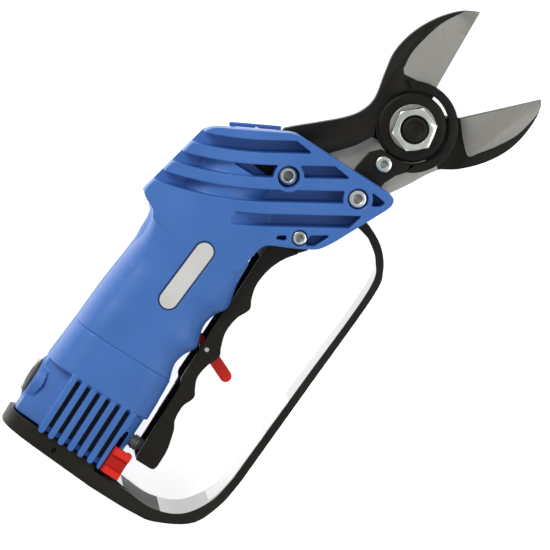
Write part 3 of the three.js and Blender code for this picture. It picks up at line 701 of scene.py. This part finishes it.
def motor_cover():
    seam = SEAM_X - 0.03
    skirt = loft(
        [
            section(SKIRT_X, 29.4, -24.4, CHEEK_Z - 1.0),
            section(SKIRT_X + 0.8, 29.6, -24.6, CHEEK_Z - 0.2),
            section(52, 28.8, -24.2, CHEEK_Z),
            section(seam - 0.3, 28.1, -23.5, CHEEK_Z),
            section(seam, 27.8, -23.1, CHEEK_Z - 0.3),
        ]
    )
    bow = prism([(SKIRT_X - 9, -FAR), *arc((SKIRT_X - 201.4, 2), 200, -12, 12, 40), (SKIRT_X - 9, FAR)], -FAR, FAR)
    skirt = cut(skirt, bow)
    foot = loft(
        [section(COVER_X, 29.4, -22.4, VENT_Z), section(COVER_X + 6, 29.4, -22.4, VENT_Z),
         section(SKIRT_X + 1, 29.4, -22.8, VENT_Z)]
    )
    under = keep(cap_pocket(2.2), duplicate(foot))
    pocket = cap_pocket()
    foot = cut(foot, flip(pocket), pocket)
    tongue = loft([section(x, 28, -23.4, CHEEK_Z, 0.7) for x in (SEAM_X - 3, SEAM_X + 1.6)])
    flare = [(8, 16.5), (6, 19.5), (4.2, 23), (3, 26.5), (2.3, 29.2), (1.5, 30.2)]
    boss = turned("y", (CAP_X, 0), [(CAP_R + out, y) for out, y in flare], 96)
    boss = keep(boss, box(COVER_X + 0.4, SKIRT_X + 4, 0, FAR, -VENT_Z + 1, VENT_Z - 1))
    body = join(skirt, foot, boss, tongue)
    first = -((VENT_COUNT - 1) / 2) * VENT_PITCH
    for i in range(VENT_COUNT + 1):
        y = first + (i - 0.5) * VENT_PITCH
        end = arc((COVER_X + 0.1, y), VENT_RIB, 90, 270, 12)
        outline = [(SKIRT_X + 1, y - VENT_RIB), (SKIRT_X + 1, y + VENT_RIB), *end]
        rib = prism(outline, -VENT_Z - 1.9, VENT_Z + 1.9, rim=0.5)
        body = join(body, rib)
    hollow = loft(
        [section(COVER_X - 2, 29.4, -22.4, VENT_Z, WALL), section(SKIRT_X - 1, 29.4, -22.8, VENT_Z, WALL),
         section(SEAM_X + 2, 28, -23.4, VENT_Z, WALL)]
    )
    body = cut(body, box(0, COVER_X - 0.05, -FAR, FAR, -VENT_Z - 0.35, VENT_Z + 0.35), hollow)
    body = join(body, flip(under), under)
    half_slot = VENT_PITCH / 2 - VENT_RIB
    for i in range(VENT_COUNT):
        y = first + i * VENT_PITCH
        body = cut(body, box(COVER_X + 3, SKIRT_X - 0.9, y - half_slot, y + half_slot, -FAR, FAR))
        for low, high in ((VENT_Z - 1.6, FAR), (-FAR, 1.6 - VENT_Z)):
            body = cut(body, box(COVER_X - 3, COVER_X + 4, y - half_slot, y + half_slot, low, high))
    return cut(
        body,
        rod("y", (CAP_X, 0), CAP_R + GAP, 24, 40),
        rod("y", (PLUNGER_X, 0), 4.9, -40, -10),
        box(SKIRT_X - 1, SEAM_X + 2, -40, -20.6, -BAY_Z, BAY_Z),
        box(19, 33, -19.2, -16.6, 0, FAR),
        box(0, 30.2, -40, -16, VENT_Z - 0.6, FAR),
    )


def cap_pocket(thick=None):
    """The hollow between the vents and the service cap, or the wall of a given thickness under it."""
    floor = [(17.2, 13.6), (22.5, 11.4), (34, 6)]
    if thick:
        y, z = floor[0]
        side = [(y - thick, z - thick), (y - thick, VENT_Z - 0.5), (y, VENT_Z - 0.5)]
        rest = [(y, z - thick) for y, z in reversed(floor[1:])] + side
    else:
        rest = [(34, ABOVE_Z), (17.2, ABOVE_Z)]
    return loft([[(x, y, z) for y, z in floor + rest] for x in (COVER_X - 2, SKIRT_X + 0.6)])


def vent_shade_sheets():
    """Thin dark sheets behind the vents, a guess that puts painted shade in the slots so they look dark."""
    shade_sheet = box(COVER_X + 1.6, SKIRT_X + 3, -16, 14.8, VENT_Z - 3.9, VENT_Z - 3.2)
    for solid, word in ((shade_sheet, "right"), (flip(shade_sheet), "left")):
        finish_piece(solid, f"{word}_vent_shade_sheet", "housing", BLACK, slot="black_moulding")


def covers():
    for word, part in halves(motor_cover()):
        soften(part, 0.36, 2)
        finish_piece(part, f"{word}_cover", "housing", BLUE, f"{word}_motor_cover", slot="blue_shell")


# ---- Base and hand guard ----
GUARD_OUTER = [
    (12, -2), (BASE_X + 0.4, -2),
    *smooth([(3.4, -30), (3.8, -40), (5.4, -50), (14, -65.4), (28, -72.2), (42, -74.4)], 10),
    *smooth([(98, -77.3), (144, -79.6), (156.5, -77.2), (165, -70.6), (169.6, -62.6), (171.2, -57)], 10),
    (171.2, -53.6),
]
GUARD_INNER = [
    (166.9, -53.6), (166.6, -58), *smooth([(165.2, -63.4), (158.4, -71.7), (145, -76.2), (97, -73.6)], 10),
    *smooth([(40, -70.4), (27, -67.4), (15.5, -59.4), (10.3, -47), (10.6, -34), (12, -24)], 10),
]
UNDERSIDE = [(-9, 45), (7, 45), (3, -24), (-9, -24)]  # what the slanted underside of the base leaves out


def base_guard():
    loop = prism(GUARD_OUTER + GUARD_INNER, -GUARD_Z, GUARD_Z)
    wide = [(175, 8.2), (35, 16), (BASE_X + 3, GUARD_Z), (-5, GUARD_Z)]
    taper = [(x, -z) for x, z in reversed(wide)] + wide
    loop = keep(loop, loft([[(x, y, z) for x, z in taper] for y in (30, -110)]))
    cap = loft(
        [section(BASE_X, 30.2, -21.2, 19.6), section(BASE_X + 0.6, 30.9, -21.9, 20.6),
         section(BASE_X + 1.6, 31.5, -22.5, 21.3), section(COVER_X - GAP, 31.8, -22.8, VENT_Z)]
    )
    hollow = loft([section(x, 31.8, -22.8, VENT_Z, WALL) for x in (BASE_X + 3.2, COVER_X + 1)])
    body = cut(
        join(loop, cap),
        prism(UNDERSIDE, -FAR, FAR),
        hollow,
        rod("x", (MOTOR_Y, 0), 7 + GAP, 0, 20),
        box(10.6, 20, -40, -14.6, VENT_Z - 6, 40),
        turned("z", (8.6, 5.7), [(1.1, VENT_Z - 2), (1.3, VENT_Z + 2)], 32),
    )
    soften(body, 0.36, 3)
    middle = Vector((90, -45))
    paint_faces(
        body, (BLACK, GLOSS_BLACK),
        lambda at, normal: at.x > 11 and at.y < -24 and abs(normal.z) < 0.4 and normal.xy.dot(middle - at.xy) > 0,
    )
    return finish_piece(body, "base_and_guard", "housing", BLACK, "base_guard", slot="black_moulding")


def label(name, start, end, half_z):
    """A thin blank film on the hand side of the guard between two places along it."""
    hand_side = sorted(p for p in GUARD_INNER if p[1] < -58 and p[0] < 146)
    places = [start + (end - start) * i / 16 for i in range(17)]
    line = [(x, height_at(hand_side, x)) for x in places]
    inner = [(x, y + 0.12) for x, y in line]
    outer = [(x, y - 0.2) for x, y in reversed(line)]
    film = prism(inner + outer, -half_z, half_z)
    return finish_piece(film, name, "housing", LABEL)


# ---- Blades ----
BLADE_BACK = smooth(
    [(186.6, -4.4), (191, -9), (197.7, -16.5), (205.5, -24.8), (212, -29.6), (220, -31.6), (232, -29.2),
     (243, -27.6), (255, -30), (266, -35.6), (274.6, -43.2), (278.8, -50.9)], 6,
)
BLADE_BELLY = smooth([(206, -40.4), (198, -36), (188, -27.6), (180.4, -20.4)], 6)
GRIND_TOP = [
    (277.2, -46.6),
    *smooth([(275.6, -44.5), (265.2, -38.5), (254.1, -35.4), (246.1, -34.2), (238.4, -35.0)], 6),
    (236.6, -36.6),
]


def ruled_cut(high_line, low_line, z_high, z_low, reach):
    """A cutter whose underside falls from one line at z_high to another at z_low, and runs on by reach."""
    rings = []
    for (hx, hy), (lx, ly) in zip(high_line, low_line):
        away = Vector((lx - hx, ly - hy)).normalized() * reach
        rings.append(
            [(hx, hy, z_high + 0.02), (lx, ly, z_low), (lx + away.x, ly + away.y, z_low),
             (lx + away.x, ly + away.y, z_high + 9), (hx, hy, z_high + 9)]
        )
    return loft(rings)


def moving_blade():
    tail = arc(ARM_EYE, EYE_PLAY + LINK_PIN_R + 2.2, 80, 245, 18)
    hub = arc(PIVOT, DISC_R - 1.1, 355, 320, 12) + arc(PIVOT, HUB_R, 316, 120, 36)
    outline = [*BLADE_BACK, (240, -52.9), *hub, *BLADE_BELLY, *reversed(tail)]
    body = prism(outline, 0.2, BLADE_T + 0.2)
    count = len(GRIND_TOP) - 1
    edge = [(279.2 + (238.2 - 279.2) * i / count, -50.9 + (-52.95 + 50.9) * i / count) for i in range(count + 1)]
    body = cut(
        body,
        ruled_cut(GRIND_TOP, edge, BLADE_T + 0.2, 0.5, 4),
        rod("z", PIVOT, BOLT_R + GAP, -1, 9),
        rod("z", ARM_EYE, LINK_PIN_R + EYE_PLAY, -1, 9),
    )
    crisp(body, 0.35, 2)
    region = GRIND_TOP + [(236.6, -53), (279.4, -52.5)]
    paint_faces(
        body, (COATED, GROUND),
        lambda at, normal: inside((at.x, at.y), region) and normal.z > 0.2 and at.z < BLADE_T + 0.1 and at.z > 0.3,
    )
    return finish_piece(body, "upper_blade", "moving_blade", COATED, "moving_blade", slot="blade_steel")


TANG = [(158.5, -24), (168, -22.5), (186, -22), (204, -33)]
FIXED_BELLY = smooth(
    [(209, -75), (213.4, -81.8), (222, -90), (232.2, -96), (243, -98.7), (254, -98.8), (260.2, -96.4)], 6
)
FIXED_NECK = [(158.5, -45), (180, -54.8), *smooth([(186, -60.6), (195.3, -66.4), (203, -70.6), (208, -74)], 5)]
FIXED_GROUND = [
    (260.2, -96.4), (233.0, -70.0), *smooth([(226.4, -75.6), (221.2, -81.2), (221.4, -83.4), (223.6, -84.9)], 4),
    *smooth([(231, -90.4), (240.9, -95.8), (252.9, -98.3), (258, -97.9)], 5),
]


def fixed_blade():
    outline = [
        *reversed(TANG), *FIXED_NECK, *FIXED_BELLY, (233.4, -70.2), *arc(PIVOT, DISC_R - 1.1, -40, 8, 12),
        *arc(PIVOT, HUB_R + 1, 12, 100, 20),
    ]
    face = [*reversed(TANG), *FIXED_NECK, (210, -72), (207, -58), (205, -46)]
    body = join(
        prism(outline, -BLADE_T - 0.2, -0.65),
        prism(FIXED_GROUND, -1.0, -0.2),
        prism(face, -1.0, -0.2),
        rod("z", PIVOT, DISC_R - 1.4, -1.0, -0.2),
    )
    cut(
        body,
        rod("z", PIVOT, BOLT_R + GAP, -9, 1),
        rod("z", FRONT_SCREW, 2.5 + GAP, -9, 1),
        rod("z", (166, -32), 2 + GAP, -9, 1),
        rod("z", GUIDE_SCREW, 2 + GAP, -9, 1),
    )
    crisp(body, 0.25, 2)

    def upward_in(region):
        return lambda at, normal: normal.z > 0.5 and at.z > -0.5 and inside((at.x, at.y), region)

    # Painted light: the tang and neck faces get the lighter steel against the head's shadow.
    paint_faces(body, (COATED, GROUND, TANG_PAINTED_LIGHT), upward_in(FIXED_GROUND), upward_in(face))
    return finish_piece(body, "lower_blade", "housing", COATED, "fixed_blade", slot="blade_steel")


def guide_plate():
    outline = [
        *arc(PIVOT, 20.9, 210, 368, 60), *arc(PIVOT, 20.9, 372, 398, 10), *arc(PIVOT, 16.8, 394, 200, 70),
        (202.4, -46.4), (198.4, -42.4), (190, -41), (183, -41.2), (183, -55.2), (190.4, -55.8), (195.8, -58.2),
        (199.8, -61.6),
    ]
    body = cut(prism(outline, GUIDE_Z, GUIDE_Z + 3), rod("z", GUIDE_SCREW, 2 + GAP, 0, 12))
    crisp(body, 0.4, 3)
    return finish_piece(body, "blade_guide", "housing", COATED, "guide_plate", slot="black_steel")


def ring_profile(inner, outer, low, high, c=0.3):
    return [(inner, low), (outer - c, low), (outer, low + c), (outer, high - c), (outer - c, high), (inner, high)]


def bored(centre, profile, bore, sides=96):
    body = turned("z", centre, profile, sides)
    return cut(body, rod("z", centre, bore, -60, 60, sides))


def hex_outline(centre, across, turn):
    return arc(centre, across / math.sqrt(3), turn, turn + 300, 5)


def hub_stack():
    profile = [
        (13.6, GUIDE_Z), (DISC_R, GUIDE_Z), (DISC_R, GUIDE_Z + 3.2), (DISC_R - 0.6, GUIDE_Z + 3.9), (12.4, GUIDE_Z + 4.0),
    ]
    disc = bored(PIVOT, profile, BOLT_R + GAP)
    crisp(disc, 0.15, 2)
    finish_piece(disc, "hub_disc", "housing", COATED, "thrust_disc", slot="black_steel")
    washer = bored(PIVOT, ring_profile(6, 10.6, GUIDE_Z + 4.3, GUIDE_Z + 5.4, 0.25), BOLT_R + GAP)
    crisp(washer, 0.1, 2)
    finish_piece(washer, "hub_washer", "housing", DULL_ZINC, "pivot_washer", slot="zinc_steel")
    nut = prism(hex_outline(PIVOT, 18, 8 + RIB_ANGLE), GUIDE_Z + 5.7, GUIDE_Z + 15)
    cone = turned(
        "z", PIVOT, [(14, GUIDE_Z), (14, GUIDE_Z + 13.4), (10.4, GUIDE_Z + 14.5), (9.5, GUIDE_Z + 15.05)], 96
    )
    keep(nut, cone)
    cut(nut, turned("z", PIVOT, [(5.9, 0), (5.9, GUIDE_Z + 14.2), (6.9, GUIDE_Z + 15.2), (6.9, GUIDE_Z + 18)], 96))
    crisp(nut, 0.32, 2, 20)
    # Painted highlight: the nut's sloped faces get near-white zinc.
    paint_faces(
        nut, (ZINC, ZINC_HIGHLIGHT),
        lambda at, normal: 0.12 < normal.z < 0.97 and (at.xy - Vector(PIVOT)).length > 7.5,
    )
    finish_piece(nut, "hub_nut", "housing", ZINC, "pivot_nut", slot="zinc_steel")
    top = GUIDE_Z + 16.4
    shank = turned(
        "z", PIVOT,
        [(0, -10.5), (13.2, -10.5), (14, -9.7), (14, -6.3), (13.2, -5.5), (BOLT_R, -5.5), (BOLT_R, top - 0.9),
         (BOLT_R - 0.8, top), (BOLT_R - 1.5, top - 0.1), (BOLT_R - 2.1, top - 0.7), (0, top - 0.8)], 96,
    )
    crisp(shank, 0.15, 2)
    finish_piece(shank, "hub_bolt", "housing", COATED, "pivot_bolt", slot="black_steel")


def socket_screw(name, node, centre, shank, head, head_h, under, end, body="housing"):
    top = under + head_h
    profile = [(0, end), (shank - 0.3, end), (shank, end + 0.4), (shank, under), (head, under), (head, top - 0.7),
               (head - 0.25, top - 0.25), (head - 0.8, top), (0, top)]
    screw = turned("z", centre, profile, 72)
    cut(screw, prism(hex_outline(centre, shank * 1.6, 8), under + head_h * 0.4, top + 1))
    countersink = turned(
        "z", centre, [(shank * 0.7, top - 0.5), (shank * 1.05, top + 0.1), (shank * 1.05, top + 1)], 48
    )
    cut(screw, countersink)
    crisp(screw, 0.12, 2, 30)
    paint_faces(
        screw, (ZINC, SOCKET),
        lambda at, normal: (at.xy - Vector(centre)).length < shank * 0.97 and under + 0.2 < at.z < top - 0.35,
    )
    return finish_piece(screw, name, body, ZINC, node, slot="zinc_steel")


def fasteners():
    socket_screw("rear_head_bolt", "head_screw", HEAD_SCREW, 2.5, 4.25, 5, 13.3, -17.4)
    socket_screw("front_head_bolt", "front_screw", FRONT_SCREW, 2.5, 4.25, 5, 17.3, -21.4)
    socket_screw("lever_bolt", "lever_pivot_screw", LEVER_PIVOT, 2, 3.4, 4, 18.9, -22.2)
    socket_screw("guide_bolt", "guide_screw", GUIDE_SCREW, 2, 3.8, 2.2, GUIDE_Z + 3.3, -BLADE_T - 0.4)


# ---- Finger lever, trigger lock, plunger and slider ----
LEVER_FRONT = smooth(
    [(146, -43), (138, -36.4), (130, -32.8), (121, -31.6), (114, -33.2), (109.4, -35.2), (103, -32.4), (95, -31.6),
     (88, -33.6), (83.6, -35.4), (78, -33), (71, -32), (66, -33.8), (62, -35.8), (56, -33.6), (49, -34),
     (44.5, -36.2), (36.5, -38.4)], 6,
)


def lever_outline():
    return [
        *arc(LEVER_PIVOT, 5.4, -60, 100, 16), (138, -25.8), (80, -25.8), (67, -25.5), (65.4, -26.0), (64.2, -27.4),
        (63, -27.8), (33.4, -28), (25.2, -28), (24, -29), *smooth([(24, -36.6), (24.8, -38.3), (27, -38.8)], 4),
        (33, -38.8), *reversed(LEVER_FRONT),
    ]


def finger_lever():
    body = prism(lever_outline(), -LEVER_Z, LEVER_Z, rim=0.7, segments=3)
    trough = [(x, y + 12 if y > -31 else y + 2.6) for x, y in lever_outline()]
    channel = keep(prism(trough, -LEVER_Z + 2.2, LEVER_Z - 2.2), box(25.4, 132, -60, 0, -FAR, FAR))
    cut(
        body,
        channel,
        rod("z", LEVER_PIVOT, 2 + GAP, -20, 20),
        rod("z", LOCK_PIVOT, 1 + GAP, -20, 20, 32),
        box(74, 88, -48, -27, -2.8, 2.8),
        box(142.5, 160, -60, 0, MECHANISM_Z - 0.6, 20),
        box(142.5, 160, -60, 0, -20, 0.6 - MECHANISM_Z),
    )
    soften(body, 0.3, 2)
    # Painted highlight: a light line on the faces of the lever's back edge that look up and back.
    paint_faces(
        body, (BLACK, GLINT),
        lambda at, normal: (
            at.z > LEVER_Z - 0.8 and at.y > -30 and normal.y > 0.35 and normal.z > 0.35 and at.x < 138
        ),
    )
    return finish_piece(body, "lever", "finger_lever", BLACK, "finger_lever", slot="black_moulding")


def trigger_lock():
    tip = (77, -43.8)
    lean = math.degrees(math.atan2(tip[1] - LOCK_PIVOT[1], tip[0] - LOCK_PIVOT[0]))
    inner = (LOCK_PIVOT[0] + 2.6, LOCK_PIVOT[1] + 5.2)
    paddle = arc(tip, 2.75, lean - 90, lean + 90, 20) + arc(LOCK_PIVOT, 2.75, lean + 90, lean + 270, 20)
    stub = arc(inner, 1.6, 0, 180, 12) + arc(LOCK_PIVOT, 2.4, 180, 360, 12)
    body = join(prism(paddle, -2.4, 2.4), prism(stub, -2.4, 2.4))
    cut(body, rod("z", LOCK_PIVOT, 1 + GAP, -20, 20, 32))
    soften(body, 0.2, 5)
    return finish_piece(body, "lock_paddle", "trigger_lock", RED, "trigger_lock", slot="red_plastic")


def power_slider():
    """A saddle between two ridges, with a flank that slopes down to the cover."""
    z0 = VENT_Z - 5.6
    crest = VENT_Z + 2.9
    hollow = VENT_Z + 1.1
    profile = [
        (12.6, z0 + 4), (12.6, crest - 0.4), (13, crest), (15.4, crest), (16.6, hollow), (21, hollow),
        (22.2, crest), (25, crest), (25.4, crest - 0.4), (25.4, z0 + 4),
    ]
    saddle = loft([[(x, y, z) for x, z in profile] for y in (-25.6, -16.4)])
    flank = loft([[(x, -16.2, VENT_Z), (x, -16.2, crest + 2), (x, -20.2, crest + 2)] for x in (10, 28)])
    body = join(
        cut(saddle, flank),
        box(12.6, 25.4, -25.6, -23.4, z0, VENT_Z + 0.6),
        box(20.4, 24.6, -19, -16.9, VENT_Z - 5, VENT_Z + 0.5),
    )
    soften(body, 0.2, 4)
    # Painted shade: the hollow between the ridges gets the darker red.
    paint_faces(
        body, (RED, RED_PAINTED_SHADE),
        lambda at, normal: 15.6 < at.x < 22 and normal.z > 0.4 and hollow - 0.4 < at.z < crest - 0.7,
    )
    return finish_piece(body, "slide_switch", "power_slider", RED, "power_slider", slot="red_plastic")


def plunger():
    body = turned(
        "y", (PLUNGER_X, 0),
        [(0, -35.6), (2.2, -35.6), (3, -34.8), (3, -27), (3.55, -26.9), (3.55, -26.1), (3.2, -26), (3.2, -25.5),
         (3.55, -25.4), (3.55, -24.5), (3, -24.4), (3, -18.6), (0, -18.6)],
    )
    crisp(body, 0.12, 2)
    finish_piece(body, "lever_plunger", "plunger", TURNED, "plunger", slot="machined_steel")
    bush = turned(
        "y", (PLUNGER_X, 0),
        [(4.6, -21.4), (4.6, -18.6), (6.4, -18.5), (6.4, -16.7), (4.6, -16.6), (4.6, -11.6)],
    )
    cut(bush, rod("y", (PLUNGER_X, 0), 3.9, -22, -12.6))
    crisp(bush, 0.12, 2)
    finish_piece(bush, "bush", "housing", TURNED, "plunger_bush", slot="machined_steel")


def service_cap():
    r = CAP_R
    dome = [(0, 24.6), (r, 24.6), (r, 30.3)]
    dome += [(r * math.cos(a), 30.3 + 1.9 * math.sin(a)) for a in (math.radians(d) for d in range(12, 90, 12))]
    body = turned("y", (CAP_X, 0), [*dome, (0, 32.2)], 96)
    cut(body, box(CAP_X - 12, CAP_X + 12, 31, 40, -1.1, 1.1))
    crisp(body, 0.12, 2)
    finish_piece(body, "base_cap", "housing", BLACK, "service_cap", slot="black_moulding")
    band = join(box(CAP_X - 8, CAP_X + 8, 30.9, 31.9, -3.4, 3.1), box(CAP_X - 1, CAP_X + 1, 30.9, 31.2, -2, 2))
    cut(band, box(CAP_X - 12, CAP_X + 12, 31.2, 40, -1.1, 0.2))
    for k in range(-9, 10):
        cut(band, box(CAP_X + k * 0.8 - 0.2, CAP_X + k * 0.8 + 0.2, 31.65, 33, -6, 4))
    keep(band, rod("y", (CAP_X, 0), CAP_R - 0.8, 30, 33))
    return finish_piece(band, "cap_band", "housing", TURNED, slot="machined_steel")


def power_inlet():
    body = join(
        rod("x", (MOTOR_Y, 0), 7, BASE_X + 0.6, 12), rod("x", (MOTOR_Y, 0), 8.6, BASE_X + 3.5, BASE_X + 5.5)
    )
    cut(body, rod("x", (MOTOR_Y, 0), 5, -2, 9))
    for k in range(3):
        a = math.radians(90 + 120 * k)
        centre = (MOTOR_Y + 2.4 * math.cos(a), 2.4 * math.sin(a))
        join(body, turned("x", centre, chamfered(0.7, BASE_X + 2, 11, 0.2), 24))
    crisp(body, 0.2, 2)
    return finish_piece(body, "inlet", "housing", BLACK, "power_inlet", slot="black_moulding")


def badge():
    plate = prism(badge_outline(0), CHEEK_Z - 0.4, CHEEK_Z + 0.2)
    crisp(plate, 0.12, 2)
    finish_piece(plate, "badge_rim", "housing", NAVY, "badge_plate", slot="badge")
    face = prism(badge_outline(-0.55), CHEEK_Z + 0.1, CHEEK_Z + 0.29)
    crisp(face, 0.15, 3)
    finish_piece(face, "badge_face", "housing", PALE, slot="badge")


# ---- CAD pieces that show as they are ----
LOOKS = {
    "zinc_steel": ZINC, "machined_steel": TURNED, "bronze": BRONZE, "circuit_board": BOARD,
    "carrier_plastic": CARRIER, "black_steel": COATED, "blade_steel": COATED, "blue_shell": BLUE,
    "black_moulding": BLACK, "red_plastic": RED, "badge": PALE,
}


def dress_frame():
    """Finishes and small bevels for the pieces inside the housing."""
    slots = {part["node"]: part["material_slot"] for part in frame["record"]["subparts"]}
    for name, obj in frame["nodes"].items():
        obj.data.materials.clear()
        obj.data.materials.append(COATED if name.endswith("drive_link") else LOOKS[slots[name]])
        if obj.hide_render:
            continue
        bevel = obj.modifiers.new("edges", "BEVEL")
        bevel.width = 0.15 * MM
        bevel.segments = 2
        bevel.limit_method = "ANGLE"
        bevel.angle_limit = math.radians(40)


# ---- Studio ----
FIELD = 0.25  # width of the picture at the tool
LEAN = (0.0636, -0.127)  # how far the camera leans off square to the cheek, right and up
DISTANCE = 2.4
ROLL = 57  # degrees the handle is turned in the picture


def camera_axes():
    roll = math.radians(ROLL)
    right = Vector((math.cos(roll), -math.sin(roll), LEAN[0])).normalized()
    up = Vector((math.sin(roll), math.cos(roll), LEAN[1]))
    towards = right.cross(up).normalized()
    return right, towards.cross(right), towards


def studio():
    right, up, towards = camera_axes()
    target = place((127.9, -37.76, 0))
    camera = bpy.data.cameras.new("camera")
    camera.lens = camera.sensor_width * DISTANCE / FIELD
    camera.clip_end = 20
    shot = bpy.data.objects.new("camera", camera)
    turn = Matrix((right, up, towards)).transposed().to_4x4()
    shot.matrix_world = Matrix.Translation(target + towards * DISTANCE) @ turn
    bpy.context.scene.collection.objects.link(shot)
    bpy.context.scene.camera = shot

    for name, away, size, watts in (
        ("key", right * -0.55 + up * 0.75 + towards * 1.1, 0.7, 10),
        ("fill", right * 0.9 + up * -0.3 + towards * 0.9, 0.9, 4),
    ):
        light = bpy.data.lights.new(name, "AREA")
        light.shape = "DISK"
        light.size = size
        light.energy = watts
        lamp = bpy.data.objects.new(name, light)
        lamp.location = target + away
        lamp.rotation_euler = (-away).to_track_quat("-Z", "Y").to_euler()
        bpy.context.scene.collection.objects.link(lamp)

    world = bpy.data.worlds.new("studio")
    world.use_nodes = True
    sky = world.node_tree.nodes["Background"]
    sky.inputs["Color"].default_value = (1, 1, 1, 1)
    sky.inputs["Strength"].default_value = 0.48
    bpy.context.scene.world = world

    bm = bmesh.new()
    for corner in ((-6, -6), (6, -6), (6, 6), (-6, 6)):
        bm.verts.new((corner[0], corner[1], 0))
    bm.faces.new(bm.verts)
    floor = new_object("floor", bm)
    paper = bpy.data.materials.new("paper")
    paper.use_nodes = True
    shader = paper.node_tree.nodes["Principled BSDF"]
    shader.inputs["Base Color"].default_value = (0.9, 0.9, 0.9, 1)
    shader.inputs["Roughness"].default_value = 0.9
    shader.inputs["Emission Color"].default_value = (1, 1, 1, 1)
    shader.inputs["Emission Strength"].default_value = 0.75
    floor.data.materials.append(paper)
    bpy.context.scene.view_settings.view_transform = "Standard"


housing()
covers()
vent_shade_sheets()
base_guard()
label("guard_label_long", 26, 66, 14)
label("guard_label_short", 66.4, 84, 13)
moving_blade()
fixed_blade()
guide_plate()
hub_stack()
fasteners()
finger_lever()
trigger_lock()
power_slider()
plunger()
service_cap()
power_inlet()
badge()
dress_frame()
studio()
